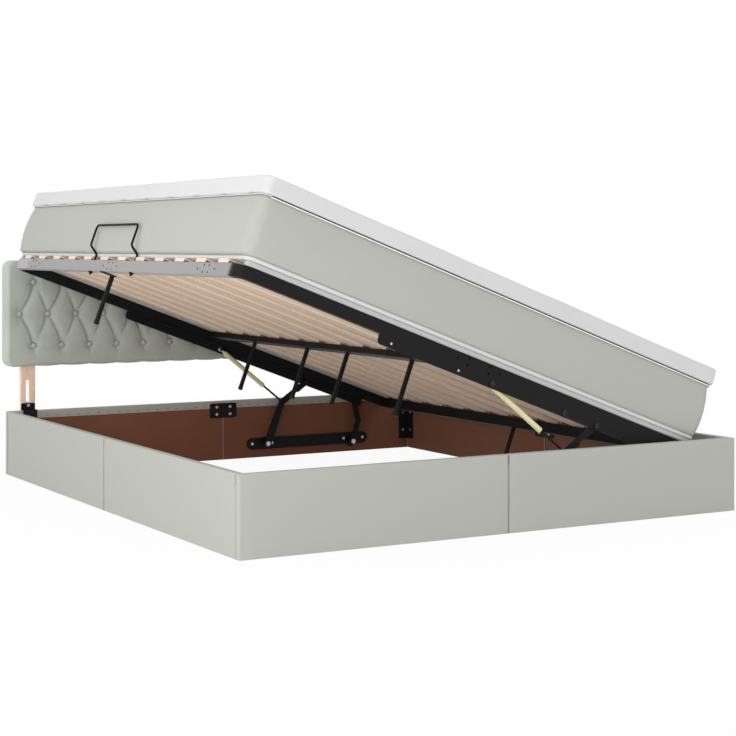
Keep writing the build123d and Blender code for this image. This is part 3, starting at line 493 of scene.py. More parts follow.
def woven_cloth(name, shade):
    made = Finish(name, sheen_weight=0.08, sheen_roughness=0.5, specular_ior_level=0.2)
    threads, crossed = made.threads("DIAGONAL", 260.0), made.threads("Y", 240.0)
    soft = made.speckle(5.0, 2.0)
    strength = 0.965 + soft * 0.035 + threads * 0.012 + crossed * 0.012
    height = threads * 0.5 + crossed * 0.5 + made.speckle(320.0) * 0.5
    return made.done(made.tint(shade, strength), 0.88, height, 0.0005, 0.30)


def lining_cloth(shade):
    made = Finish("lining", specular_ior_level=0.2)
    fibres = made.speckle(420.0, 3.0, 1.5)
    dots = made.node("ShaderNodeTexVoronoi", {"Vector": made.place, "Scale": 330.0}, "Distance")
    colour = made.tint(shade, 0.75 + fibres * 0.5)
    return made.done(colour, 0.9, fibres * 0.5 + dots, 0.0004, 0.5)


def reddish_plywood(shade):
    made = Finish("plywood", specular_ior_level=0.3)
    grain = made.speckle(26.0, 4.0, 0.8, made.stretched((1.0, 1.0, 0.06)))
    pores = made.speckle(240.0, 2.0, 0.0, made.stretched((1.0, 1.0, 0.04)))
    patches = made.speckle(4.0, 2.0)
    strength = 0.62 + grain * 0.5 + patches * 0.3 - made.between(pores, 0.62, 0.75) * 0.2
    height = grain * 0.4 + pores * 0.3
    return made.done(made.tint(shade, strength), 0.62 + grain * 0.2, height, 0.0006, 0.4)


def leg_beech(shade):
    made = Finish("beech_legs", specular_ior_level=0.3)
    grain = made.speckle(34.0, 4.0, 0.6, made.stretched((1.0, 1.0, 14.0)))
    fine = made.speckle(260.0, 2.0, 0.0, made.stretched((1.0, 1.0, 9.0)))
    flecks = made.between(fine, 0.60, 0.72)
    strength = 0.86 + grain * 0.30 - flecks * 0.14
    height = grain - flecks * 0.5
    return made.done(made.tint(shade, strength), 0.50 + grain * 0.15, height, 0.0004, 0.25)


def slat_beech_painted_light(under, side, end, sizes):
    """Tan below and pale ends. On the long sides a cream band low down is a painted highlight, and
    the tan strip above it is painted shade of the gap under the mattress.
    """
    made = Finish("beech_slats_painted_light", specular_ior_level=0.3)
    across, up = deck_directions(sizes)
    turn = (0.0, sizes.tilt, 0.0)
    grain = made.speckle(30.0, 4.0, 0.7, made.stretched((14.0, 1.0, 1.0), turn))
    fine = made.speckle(240.0, 2.0, 0.0, made.stretched((8.0, 1.0, 1.0), turn))
    flecks = made.between(fine, 0.60, 0.72)
    board = made.speckle(5.5, 0.0, 0.0, made.stretched((40.0, 1.0, 40.0), turn))
    height = made.along(up) - dot(deck_matrix(sizes).translation, up)
    # Painted shade: above the band the sides take the tan of the gap under the mattress
    gap_painted_shade = made.between(height, sizes.slat_highlight_top - 0.001, sizes.slat_highlight_top + 0.001)
    sideways, endways = made.facing(OUTWARD["head"]), made.facing(across)
    lit_long_side = made.between(sideways * sideways, 0.4, 0.7) * (1.0 - gap_painted_shade)
    ends = made.between(endways * endways, 0.4, 0.7)
    shade = made.mix(ends, made.mix(lit_long_side, under, side), end)
    strength = 0.82 + grain * 0.20 + board * 0.18 - flecks * 0.12
    height = grain - flecks * 0.5
    return made.done(made.tint(shade, strength), 0.55 + grain * 0.12, height, 0.0004, 0.25)


def powder_coat(name, shade):
    made = Finish(name, specular_ior_level=0.14)
    peel = made.speckle(620.0, 1.0)
    dust = made.speckle(11.0, 3.0)
    return made.done(made.tint(shade, 0.8 + dust * 0.5), 0.46 + dust * 0.18, peel, 0.0003, 0.35)


def bar_coat_with_painted_reflection(steel, pale, sizes):
    """Black like the other bars, with a painted reflection: its long face light grey and fading out
    round the corners.
    """
    low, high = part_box("frame_opening_bar")
    across, up = deck_directions(sizes)
    made = Finish("opening_bar_painted_reflection", specular_ior_level=0.14)
    peel = made.speckle(620.0, 1.0)
    haze = made.speckle(3.0, 2.0)
    outward = made.facing(across) * -1.0
    front = made.between(outward, 0.86, 0.97)
    under = made.between(made.facing(up) * -1.0, 0.80, 0.95)
    length = made.along(OUTWARD["head"])
    far_end = made.between(length, high.y - 0.20, high.y - 0.15)
    far_corner = far_end * made.between(outward, 0.20, 0.50)
    reflecting_faces = made.either(made.either(front, under), far_corner)
    outer_edge = near_opening_side(made, sizes, 0.004)
    outer_strip = under * near_opening_side(made, sizes, 0.024)
    outside = made.either(made.either(outer_edge, outer_strip), far_corner)
    past_near_corner = made.between(length, low.y + 0.047, low.y + 0.075)
    away_from_foot = made.between(length, low.y + 0.05, low.y + 0.60)
    black = made.tint(steel, 0.8 + haze * 0.4)
    # The painted reflection grows lighter away from the foot
    grey = made.tint(pale, 0.80 + haze * 0.1 + away_from_foot * 0.10)
    coat = made.mix(reflecting_faces * outside * past_near_corner, black, grey)
    return made.done(coat, 0.42 + haze * 0.2, peel, 0.0003, 0.25)


def bright_zinc(shade):
    made = Finish("zinc_plate", metallic=1.0)
    dull = made.speckle(150.0, 3.0)
    return made.done(made.tint(shade, 0.8 + dull * 0.4), 0.28 + dull * 0.2, dull, 0.0001, 0.3)


def dark_bolt(name, steel, zinc, sizes=None, bright_reach=0.0):
    """Blackened bolts with worn, lighter rims, bright within reach of the opening edge."""
    made = Finish(name)
    bright = near_opening_side(made, sizes, bright_reach) if bright_reach else 0.0
    worn = made.speckle(260.0, 3.0)
    made.feed(made.shader.inputs["Metallic"], 0.6 + bright * 0.4)
    colour = made.mix(bright, made.tint(steel, 1.4 + worn * 2.0), zinc)
    return made.done(colour, 0.25 + worn * 0.2, worn, 0.0001, 0.4)


def near_opening_side(made, sizes, reach):
    """1 on the platform within reach of its opening edge, 0 beyond."""
    across, _ = deck_directions(sizes)
    edge = dot(deck_matrix(sizes).translation, across) + reach
    return 1.0 - made.between(made.along(across), edge - 0.01, edge + 0.01)


def gloss_paint(name, shade):
    made = Finish(name, coat_weight=0.4, coat_roughness=0.15, specular_ior_level=0.45)
    flow = made.speckle(180.0, 1.0)
    cloudy = made.speckle(22.0, 2.0)
    colour = made.tint(shade, 0.93 + cloudy * 0.14)
    return made.done(colour, 0.32 + flow * 0.1, flow, 0.0001, 0.3)


def moulded_plastic(name, shade):
    made = Finish(name, specular_ior_level=0.20)
    grain = made.speckle(900.0, 1.0)
    colour = made.tint(shade, 0.85 + grain * 0.3)
    return made.done(colour, 0.50 + grain * 0.1, grain, 0.0002, 0.35)


# Places


def deck_matrix(sizes):
    """From the flat platform, its opening edge at zero, to the lifted one."""
    low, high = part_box("frame_opening_bar")
    height = high.z - sizes.bar_height * math.cos(sizes.tilt)
    return Matrix.Translation((low.x, 0.0, height)) @ Matrix.Rotation(sizes.tilt, 4, "Y")


def deck_directions(sizes):
    """Across the lifted platform from its opening edge, and up from its face."""
    turned, raised = math.cos(sizes.tilt), math.sin(sizes.tilt)
    return (turned, 0.0, -raised), (raised, 0.0, turned)


def mattress_plan(sizes):
    """The mattress's flat sides on the platform: low and high u, low and high y."""
    low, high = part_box("mattress")
    hinge_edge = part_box("frame_hinge_bar")[1].x - sizes.bar_height * math.sin(sizes.tilt)
    middle = (hinge_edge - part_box("frame_opening_bar")[0].x) / math.cos(sizes.tilt) / 2
    half = sizes.width / 2
    return middle - half, middle + half, low.y + sizes.bulge, high.y - sizes.bulge


def lift(piece, sizes):
    """Carry a piece made flat up to the lifted platform."""
    piece.matrix_world = deck_matrix(sizes)
    settle(piece)


def rounded_block(name, plan, low, high, corner, pitch):
    """A slab on the platform with round upright corners, cut finely enough to be shaped."""
    left, right, near, far = plan
    piece = block(name, (left, near, low), (right, far, high))
    with Shaping(piece) as work:
        work.edges(upright)
        work.bevel(corner, 10)
        work.slices(0, left + corner, right - corner, pitch)
        work.slices(1, near + corner, far - corner, pitch)
    return piece


def outline_normal(point, plan, corner):
    """Outward direction of the slab's outline at a point near it."""
    left, right, near, far = plan
    across = max(point.x - (right - corner), 0.0) - max(left + corner - point.x, 0.0)
    along = max(point.y - (far - corner), 0.0) - max(near + corner - point.y, 0.0)
    away = Vector((across, along, 0.0))
    return away.normalized() if away.length > 1e-6 else away


# Covers

RIPPLE_LENGTH = 0.16
COVER_STEP, COVER_RISE = 0.05, 0.045  # Between the cuts along and up a cover
STAPLE_RISE = 0.009  # Above the lip's lower edge
STAPLE_MARGIN = 0.035  # From a cover's end to its first staple


def run_of(outward):
    """The axis that a side's covers run along."""
    return 0 if abs(outward.y) > 0.5 else 1


def from_corner(point, outward, box_sides):
    """On the foot or head side, from a point to the box's nearer corner."""
    return min(abs(point.x - side) for side in box_sides) if run_of(outward) == 0 else math.inf


def wrap_board(node, low, high, outward, box_sides, sizes):
    """A cover's outer face, its top and its lip, rounded at the seams and the upper edges."""
    run, lip_height = run_of(outward), high.z - sizes.lip
    face = high if sum(outward) > 0 else low

    def on_outside(point):
        on_face = abs((point - face).dot(outward)) < NEAR
        return on_face or from_corner(point, outward, box_sides) < NEAR

    cover = block(f"{node}_velvet", low, high)
    with Shaping(cover) as work:
        work.slice((0, 0, lip_height), UP)
        work.faces(lambda c, n: n.z < -0.9 or (n.dot(outward) < -0.9 and c.z < lip_height))
        bpy.ops.mesh.delete(type="FACE")
        work.edges(lambda a, b: upright(a, b) and on_outside(a))
        work.bevel(sizes.seam_fold, 4)
        work.edges(lambda a, b: at_height(a, b, high.z))
        work.bevel(sizes.fold, 4)
        work.slices(run, low[run] + sizes.fold, high[run] - sizes.fold, COVER_STEP)
        work.slices(2, 0.0, high.z - sizes.fold, COVER_RISE)
    return cover


def paint_seam_shade(cover, low, high, outward, box_sides, sizes):
    """Put painted shade in the seams: the darker velvet goes where a cover turns in to its
    neighbour or the box's corner.
    """
    run = run_of(outward)
    for polygon in cover.data.polygons:
        centre, normal = polygon.center, polygon.normal
        if from_corner(centre, outward, box_sides) < sizes.seam_fold + NEAR:
            turned = normal.dot(outward) < -0.5
        else:
            within = low[run] + sizes.cloth < centre[run] < high[run] - sizes.cloth
            turned = abs(normal[run]) > 0.5 and within
        polygon.material_index = int(turned and centre.z < high.z - sizes.fold)


def staple_row(node, low, high, outward, sizes):
    """One row of staples along a cover's inner lip."""
    run = run_of(outward)
    across = 1 - run
    size = Vector((0, 0, sizes.staple_wire))
    size[run] = sizes.staple_width
    size[across] = 2 * sizes.staple_wire
    start = Vector((0, 0, high.z - sizes.lip + STAPLE_RISE))
    start[run] = low[run] + STAPLE_MARGIN
    start[across] = high[across] if outward[across] < 0 else low[across]
    staple = block(f"{node}_staples", start - size / 2, start + size / 2)
    with Shaping(staple) as work:
        work.edges(lambda a, b: abs(a[run] - b[run]) > 1e-4)
        work.bevel(sizes.staple_wire * 0.3, 1)
    row = high[run] - low[run] - 2 * STAPLE_MARGIN
    step = [0.0, 0.0, 0.0]
    step[run] = sizes.staple_pitch
    with_modifier(
        staple, "ARRAY", count=int(row / sizes.staple_pitch) + 1, use_relative_offset=False,
        use_constant_offset=True, constant_offset_displace=step,
    )
    return staple


class BED_OT_covers(Operator):
    """Wrap each base board in its velvet cover, with staples along the inside"""

    bl_idname = "storage_bed.covers"
    bl_label = "Panel covers and staples"

    def execute(self, context):
        sizes = context.scene.storage_bed.covers
        clouds = bpy.data.textures.new("cover_ripple", "CLOUDS")
        clouds.noise_scale = RIPPLE_LENGTH
        foot = [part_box(f"foot_cover_{half}") for half in ("left", "right")]
        box_sides = min(low.x for low, _ in foot), max(high.x for _, high in foot)
        rows = []
        for side, outward in OUTWARD.items():
            for half in ("left", "right"):
                node = f"{side}_cover_{half}"
                low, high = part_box(node)
                cover = wrap_board(node, low, high, outward, box_sides, sizes)
                with_modifier(
                    cover, "DISPLACE", texture=clouds, texture_coords="LOCAL",
                    strength=sizes.ripple, mid_level=0.5,
                )
                with_modifier(cover, "SOLIDIFY", thickness=sizes.cloth, offset=-1.0)
                smooth(cover, 50)
                # The second material is the painted shade of the seams
                dress(cover, "velvet", "seam_velvet")
                paint_seam_shade(cover, low, high, outward, box_sides, sizes)
                hand_over(cover, "base", "velvet", node)
                rows.append(staple_row(node, low, high, outward, sizes))
        staples = join(rows, "cover_staples")
        dress(staples, "dark_bolts")
        hand_over(staples, "base")
        return {"FINISHED"}


# Mattress and topper

BORDER_CUTS = (0.018, 0.05, 0.12, 0.22, 0.35, 0.5, 0.65, 0.78, 0.88, 0.95, 0.982)
BAND_CUTS = (0.1, 0.25, 0.5, 0.75, 0.9)
BORDER_ROLL, BORDER_TUCK = 0.007, 0.006  # Height and depth of the border's rolled edges
BAND_TUCK = 0.0045  # How far the band rounds in above and below
SEAM_OUTSET, PIPING_OUTSET = 0.003, 0.006  # Outside the mattress's flat sides
OPENING_STRIP = 0.02  # Width of what counts as the opening side
END_ROLL_SETBACK, END_ROLL_EDGE = 0.003, 0.0045
CHANNEL_WIDTH, TACK_WIDTH = 0.09, 0.10  # As shares of the pitch
TACK_RISE = 0.018  # Height over which a tack's gap fades out
PUCKER = 0.0012  # Unevenness of the topper's top and sides
SAG = 0.0015  # Unevenness of its top edge


def velvet_border(sizes, plan):
    """Velvet border: barrel-shaped sides with rolled edges and a soft hand-pulled surface."""
    low, high = sizes.border_low, sizes.border_high
    piece = rounded_block("mattress_border", plan, low, high, sizes.corner, 0.06)
    with Shaping(piece) as work:
        work.level_cuts(low, high, BORDER_CUTS)
    for vertex in piece.data.vertices:
        outward = outline_normal(vertex.co, plan, sizes.corner)
        if outward.length == 0:
            continue
        share = (vertex.co.z - low) / (high - low)
        swell = sizes.bulge * (1 - (2 * share - 1) ** 2)
        from_edge = min(share, 1 - share) * (high - low)
        tuck = BORDER_TUCK * quarter_round(1 - min(1.0, from_edge / BORDER_ROLL))
        pull = 0.0016 * wave(vertex.co, 0.24) + 0.0007 * wave(vertex.co, 0.07, 3.0)
        on_side = ease(abs(outward.x) + abs(outward.y), 0.9, 1.0)
        vertex.co += outward * (swell - tuck + pull * on_side * ease(from_edge, 0.0, 0.03))
    return piece


def white_band(sizes, plan):
    """White roll under the border."""
    low, high = sizes.band_low, sizes.border_low
    plan = (plan[0] + sizes.band_inset, *plan[1:])
    piece = rounded_block("mattress_band", plan, low, high, sizes.corner, 0.12)
    with Shaping(piece) as work:
        work.level_cuts(low, high, BAND_CUTS)
    for vertex in piece.data.vertices:
        rise = 2 * (vertex.co.z - low) / (high - low) - 1
        tuck = BAND_TUCK * quarter_round(rise) + 0.0006 * wave(vertex.co, 0.2, 5.0)
        vertex.co -= outline_normal(vertex.co, plan, sizes.corner) * tuck
    return piece


def end_roll(sizes, plan, end):
    """Light roll between the band and an end bar."""
    left, right, near, far = plan
    at_foot = end == "foot"
    outer = near + END_ROLL_SETBACK if at_foot else far - END_ROLL_SETBACK
    inner = outer + (sizes.roll_depth if at_foot else -sizes.roll_depth)
    low = (left + sizes.roll_inset, min(outer, inner), sizes.roll_low)
    high = (right - sizes.roll_inset, max(outer, inner), sizes.roll_high)
    roll = block(f"mattress_roll_{end}", low, high)
    with Shaping(roll) as work:
        work.edges(lambda a, b: True)
        work.bevel(END_ROLL_EDGE, 4)
        work.slices(0, low[0], high[0], 0.05)
    for vertex in roll.data.vertices:
        vertex.co.y += 0.0007 * wave(vertex.co, 0.15, 6.0)
    return roll


def thin_roll(name, sizes, plan, outset, height, radius):
    """A thin roll round the mattress, outside its flat sides."""
    left, right, near, far = plan
    clear_selection()
    centre = ((left + right) / 2, (near + far) / 2, height)
    bpy.ops.mesh.primitive_plane_add(size=1, location=centre)
    roll = named(name)
    roll.scale = (right - left + 2 * outset, far - near + 2 * outset, 1)
    settle(roll)
    with Shaping(roll):
        bpy.ops.mesh.select_mode(type="VERT")
        bpy.ops.mesh.select_all(action="SELECT")
        bpy.ops.mesh.bevel(offset=sizes.corner, segments=10, affect="VERTICES")
        bpy.ops.mesh.delete(type="ONLY_FACE")
    take(roll)
    bpy.ops.object.convert(target="CURVE")
    roll = bpy.context.object
    roll.data.bevel_depth = radius
    roll.data.bevel_resolution = 1
    bpy.ops.object.convert(target="MESH")
    return named(name)


class BED_OT_mattress(Operator):
    """Build the mattress: white band below, velvet border, piping"""

    bl_idname = "storage_bed.mattress"
    bl_label = "Mattress"

    def execute(self, context):
        sizes = context.scene.storage_bed.mattress
        plan = mattress_plan(sizes)
        opening = plan[0] + OPENING_STRIP
        border = velvet_border(sizes, plan)
        band = white_band(sizes, plan)
        rolls = [end_roll(sizes, plan, end) for end in ("foot", "head")]
        rolls = join(rolls, "mattress_end_rolls")
        height = sizes.border_high - sizes.seam
        seam = thin_roll("mattress_seam_painted_shadow", sizes, plan, SEAM_OUTSET, height, sizes.seam)
        height = sizes.border_high - 2 * sizes.seam - sizes.piping
        piping = thin_roll("mattress_piping", sizes, plan, PIPING_OUTSET, height, sizes.piping)
        with Shaping(piping) as work:
            work.faces(lambda c, n: c.x < opening)
            bpy.ops.mesh.delete(type="FACE")
        dress(border, "velvet")
        dress(band, "white_cloth")
        dress(rolls, "roll_cloth")
        # Black lining on the seam is painted shadow under the topper; on the opening side it is
        # white
        dress(seam, "lining", "white_cloth")
        dress(piping, "piping_cloth_painted_light")
        for face in seam.data.polygons:
            face.material_index = int(face.center.x < opening)
        for piece in (border, band, rolls, seam, piping):
            lift(piece, sizes)
            smooth(piece, 60)
        hand_over(border, "platform", "velvet", "mattress")
        hand_over(band, "platform", "white_quilt", "mattress")
        hand_over(rolls, "platform", "white_quilt")
        hand_over(seam, "platform")
        hand_over(piping, "platform", "white_quilt")
        return {"FINISHED"}


def quilting_channel(x, y, sizes):
    """1 on a sewn channel of the diamond quilting, 0 away from it."""
    first = (x + y) / sizes.quilt_pitch / math.sqrt(2)
    second = (x - y) / sizes.quilt_pitch / math.sqrt(2)
    return max(hill(line - round(line), CHANNEL_WIDTH) for line in (first, second))


class BED_OT_topper(Operator):
    """Build the quilted white topper with its soft, tacked edge"""

    bl_idname = "storage_bed.topper"
    bl_label = "Topper"

    def execute(self, context):
        sizes = context.scene.storage_bed.mattress
        left, right, near, far = mattress_plan(sizes)
        left, right = left - sizes.bulge, right + sizes.bulge
        near, far = near - sizes.bulge, far + sizes.bulge
        low = sizes.border_high + sizes.topper_gap
        high = low + sizes.topper_height
        topper = block("topper_pad", (left, near, low), (right, far, high))
        with Shaping(topper) as work:
            work.edges(upright)
            work.bevel(sizes.topper_corner, 8)
            work.edges(lambda a, b: at_height(a, b, low) or at_height(a, b, high))
            work.bevel(sizes.topper_edge, 3)
            work.slices(0, left, right, 0.03)
            work.slices(1, near, far, 0.03)
            work.slices(2, low, high, 0.009)
        with_modifier(topper, "SUBSURF", subdivision_type="SIMPLE", levels=1, render_levels=1)
        for vertex in topper.data.vertices:
            point = vertex.co.copy()
            inner = min(point.x - left, right - point.x, point.y - near, far - point.y)
            flat_part = ease(inner, 0.015, 0.07)
            if point.z > (low + high) / 2:
                quilting = sizes.quilt_depth * quilting_channel(point.x, point.y - near, sizes)
                vertex.co.z -= flat_part * (quilting + PUCKER * (1 + wave(point, 0.35, 2.0)))
                vertex.co.z -= (1 - flat_part) * SAG * (1 + wave(point, 0.12, 8.0))
            outward = outline_normal(point, (left, right, near, far), sizes.topper_corner)
            if outward.length and inner < 0.03:
                vertex.co -= outward * PUCKER * (1 + wave(point, 0.22, 4.0))
                if outward.x < -0.7:
                    place = (point.y - near) / sizes.tack_pitch - 0.5 + 0.12 * wave(point, 0.5, 9.0)
                    gap = hill(place - round(place), TACK_WIDTH)
                    vertex.co.z += sizes.tack_lift * gap * (1 - ease(point.z, low, low + TACK_RISE))
        lift(topper, sizes)
        smooth(topper, 60)
        dress(topper, "white_cloth")
        hand_over(topper, "platform", "white_quilt", "mattress_topper")
        return {"FINISHED"}


# Headboard

PIT_NARROW, PIT_WIDE = 0.0165, 0.038  # Radii of the pit's steep and shallow parts
PLEAT_STEEP, PLEAT_EASY = 0.0034, 0.0090  # Widths of a pleat's two sides
RIDGE, RIDGE_PLACE, RIDGE_WIDTH = 0.45, 0.0100, 0.0055  # The low ridge beside a pleat
GATHERS, GATHER_DEPTH = 9, 0.0010  # Small folds round a button
UNEVEN = 0.0014
SCALLOP = 0.0035  # How far the lower edge is drawn up between the pleats
BUTTON_SUNK = 0.0045  # Above the deepest padding
BUTTON_FLATNESS, BUTTON_BACK = 0.52, 0.0015
LEG_GAP = 0.0008  # Between a leg and the padding beside it
BACK_GAP = 0.0005  # From the lining to the back of the solid cushion


def button_rows(sizes):
    """Height of each row of buttons and how many it has."""
    return (
        (sizes.row - sizes.rise, sizes.columns - 1),
        (sizes.row, sizes.columns),
        (sizes.row + sizes.rise, sizes.columns - 1),
    )


def button_places(sizes, middle):
    for height, columns in button_rows(sizes):
        for column in range(columns):
            yield middle + (column - (columns - 1) / 2) * sizes.pitch, height


def padding_depth(x, z, sizes, half_width):
    """How far the padding is pulled in at a point. x is from the headboard's middle."""
    pitch, rise = sizes.pitch, sizes.rise
    place = x / pitch - 0.5
    level = (z - sizes.row) / rise
    between = min(abs(level), 1.0)
    bow = math.sin(math.pi * between)
    lean = 0.5 * level
    if abs(level) <= 1.0:
        first = place + lean - (0.07 if level < 0 else 0.03) * bow
        second = place - lean - (0.09 if level > 0 else 0.03) * bow
        strong, weak = (second, first) if level > 0 else (first, second)
        fade = 1 - ease(between, 0.30, 0.85)
        pulled = 1 - valley(strong, 1.0) * valley(weak, 0.20 + 0.45 * fade)
        across = pitch * 0.9
        crease = pleat(strong, across, 1.0) + pleat(weak, across, 0.65 * fade)
        plain = ease(abs(x), half_width - 0.075, half_width - 0.030)
    else:
        over = (abs(level) - 1.0) * rise
        column = place - 0.5
        fade = 1 - ease(over, 0.0, 0.045)
        pulled = 1 - valley(column, 0.05 + 0.45 * fade)
        crease = pleat(column, pitch, 0.40 * fade)
        plain = ease(abs(x), half_width - 0.115, half_width - 0.085)
    pulled, crease = pulled * (1 - plain), crease * (1 - plain)
    reach, angle = nearest_button(x, z, sizes)
    pit = 0.7 * hill(reach, PIT_NARROW) + 0.3 * hill(reach, PIT_WIDE)
    gather = GATHER_DEPTH * math.cos(GATHERS * angle + 0.6) * hill(reach - 0.019, 0.009)
    soft = UNEVEN * (1 + wave((x, 0.0, z), 0.09, 1.0))
    total = sizes.puff * pulled + sizes.pleat * crease + sizes.pit * pit + gather + soft
    return sizes.deepest * math.tanh(total / sizes.deepest)


def valley(line, weight):
    """1 on the padding between two lines, less by weight on a line."""
    return 1 - weight * (1 - abs(math.sin(math.pi * line))) ** 2.2


def pleat(line, pitch, weight):
    """One-sided fold: steep on one side, easy on the other, with a low ridge beside it."""
    offset = (line - round(line)) * pitch
    fold = hill(offset, PLEAT_STEEP if offset < 0 else PLEAT_EASY)
    return weight * (fold - RIDGE * hill(offset + RIDGE_PLACE, RIDGE_WIDTH))


def nearest_button(x, z, sizes):
    """Distance and direction of the nearest button."""
    best = (1.0, 0.0)
    for height, columns in button_rows(sizes):
        half = (columns - 1) / 2
        column = min(half, max(-half, round(x / sizes.pitch + half) - half))
        across, up = x - column * sizes.pitch, z - height
        best = min(best, (math.hypot(across, up), math.atan2(up, across)))
    return best


def padded_sheet(sizes, low, high, middle):
    """A fine sheet whose rim rolls back, pulled in by the buttons and pleats."""
    half_x, half_z = (high.x - low.x) / 2, (high.z - low.z) / 2
    spare = sizes.edge * (math.pi / 2 - 1)
    flat_x, flat_z = half_x + spare, half_z + spare
    centre_z = (high.z + low.z) / 2
    clear_selection()
    bpy.ops.mesh.primitive_grid_add(
        x_subdivisions=round(2 * flat_x / sizes.grid),
        y_subdivisions=round(2 * flat_z / sizes.grid),
        size=1,
    )
    sheet = named("headboard_padding")
    sheet.scale = (2 * flat_x, 2 * flat_z, 1)
    sheet.rotation_euler = (math.pi / 2, 0, 0)
    settle(sheet)
    for vertex in sheet.data.vertices:
        x, z, back = rolled(vertex.co.x, vertex.co.z, flat_x, flat_z, sizes)
        inner = min(half_x - abs(x), half_z - abs(z))
        pull = padding_depth(x, centre_z + z, sizes, half_x) * ease(inner, 0.0, 0.022)
        place = x / sizes.pitch - 0.5
        drawn = (1 - abs(math.cos(math.pi * place)) ** 0.8) * (1 - ease(abs(x), 0.83, 0.86))
        lower = 1 - ease(z + half_z, 0.0, 0.05)
        z += SCALLOP * drawn * lower
        vertex.co = (middle + x, low.y + back + pull, centre_z + z)
    return sheet


def rolled(x, z, flat_x, flat_z, sizes):
    """Where a point of the flat sheet comes to lie with its rim rolled, and how far back."""
    radius, corner = sizes.edge, sizes.corner
    wide = corner + radius * (math.pi / 2 - 1)
    over_x = max(abs(x) - flat_x + wide, 0.0)
    over_z = max(abs(z) - flat_z + wide, 0.0)
    reach = max(over_x, over_z)
    if reach == 0:
        return x, z, 0.0
    outward = Vector((over_x, over_z)).normalized()
    rim, back = wide - reach, 0.0
    if rim < radius * math.pi / 2:
        turn = rim / radius
        back = radius * (1 - math.sin(turn))
        reach = corner - radius * (1 - math.cos(turn))
    x = math.copysign(abs(x) - over_x + outward.x * reach, x)
    z = math.copysign(abs(z) - over_z + outward.y * reach, z)
    return x, z, back


def close_back(cushion, sizes, low, high):
    """Draw the rim back over the board, close it with a lining, and open slots for the legs."""
    legs = [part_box(f"headboard_leg_{side}") for side in ("left", "right")]
    leg_front, leg_back = legs[0][0].y, legs[0][1].y
    back = high.y - BACK_GAP
    depth = low.y + sizes.edge
    with Shaping(cushion) as work:
        for step in (leg_front - 0.0003, leg_back + 0.0002, back - 0.004, back - 0.001, back):
            work.rim()
            move = {"value": (0, step - depth, 0)}
            bpy.ops.mesh.extrude_edges_move(TRANSFORM_OT_translate=move)
            depth = step
        work.rim()
        bpy.ops.mesh.edge_face_add()
        bpy.ops.mesh.select_mode(type="FACE")
        bpy.ops.mesh.inset(thickness=sizes.lining_inset)
        for leg_low, leg_high in legs:
            open_slot(work, low.z, leg_low, leg_high)


def open_slot(work, base, leg_low, leg_high):
    """Push a leg's slot up into the cushion's underside."""
    sides = leg_low.x - LEG_GAP, leg_high.x + LEG_GAP

    def under(centre, normal, slack):
        at_leg = leg_low.y - slack < centre.y < leg_high.y + slack
        return normal.z < -0.5 and centre.z < base + 0.01 and at_leg

    for side in sides:
        work.faces(lambda c, n: under(c, n, 0.001) and abs(c.x - side) < 0.02)
        bpy.ops.mesh.bisect(plane_co=(side, 0, 0), plane_no=(1, 0, 0))
    work.faces(lambda c, n: under(c, n, 0.0003) and sides[0] < c.x < sides[1])
    move = {"value": (0, 0, leg_high.z + 0.001 - base)}
    bpy.ops.mesh.extrude_region_move(TRANSFORM_OT_translate=move)


def covered_buttons(sizes, low, middle):
    """Covered buttons: one low dome with a rolled rim, copied to every place."""
    clear_selection()
    bpy.ops.mesh.primitive_uv_sphere_add(
        segments=20, ring_count=12, radius=sizes.button, rotation=(math.pi / 2, 0, 0)
    )
    button = named("headboard_button")
    button.scale = (1, 1, BUTTON_FLATNESS)
    settle(button)
    with Shaping(button):
        bpy.ops.mesh.select_all(action="SELECT")
        bpy.ops.mesh.bisect(
            plane_co=(0, BUTTON_BACK, 0), plane_no=(0, 1, 0), use_fill=True, clear_outer=True
        )
    for vertex in button.data.vertices:
        reach = math.hypot(vertex.co.x, vertex.co.z) / sizes.button
        if vertex.co.y < 0:
            vertex.co.y += 0.0012 * hill(reach - 0.72, 0.12) + 0.0006 * hill(reach, 0.3)
    smooth(button, 60)
    depth = low.y + sizes.deepest - BUTTON_SUNK
    copies = [
        copy_of(button, f"headboard_button_{index}", (x, depth, height))
        for index, (x, height) in enumerate(button_places(sizes, middle))
    ]
    bpy.data.objects.remove(button)
    return join(copies, "headboard_covered_buttons")


class BED_OT_headboard(Operator):
    """Build the tufted headboard cushion and its covered buttons"""

    bl_idname = "storage_bed.headboard"
    bl_label = "Headboard cushion and buttons"

    def execute(self, context):
        sizes = context.scene.storage_bed.headboard
        low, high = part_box("headboard_cushion")
        middle = (low.x + high.x) / 2
        cushion = padded_sheet(sizes, low, high, middle)
        close_back(cushion, sizes, low, high)
        dress(cushion, "headboard_velvet", "lining")
        for face in cushion.data.polygons:
            face.material_index = int(len(face.vertices) > 60)  # Only the lining's face has so many
        smooth(cushion, 70)
        hand_over(cushion, "headboard", "velvet", "headboard_cushion")
        buttons = covered_buttons(sizes, low, middle)
        dress(buttons, "button_velvet")
        hand_over(buttons, "headboard", "velvet", "headboard_buttons")
        return {"FINISHED"}


# Finishes, stage and panel

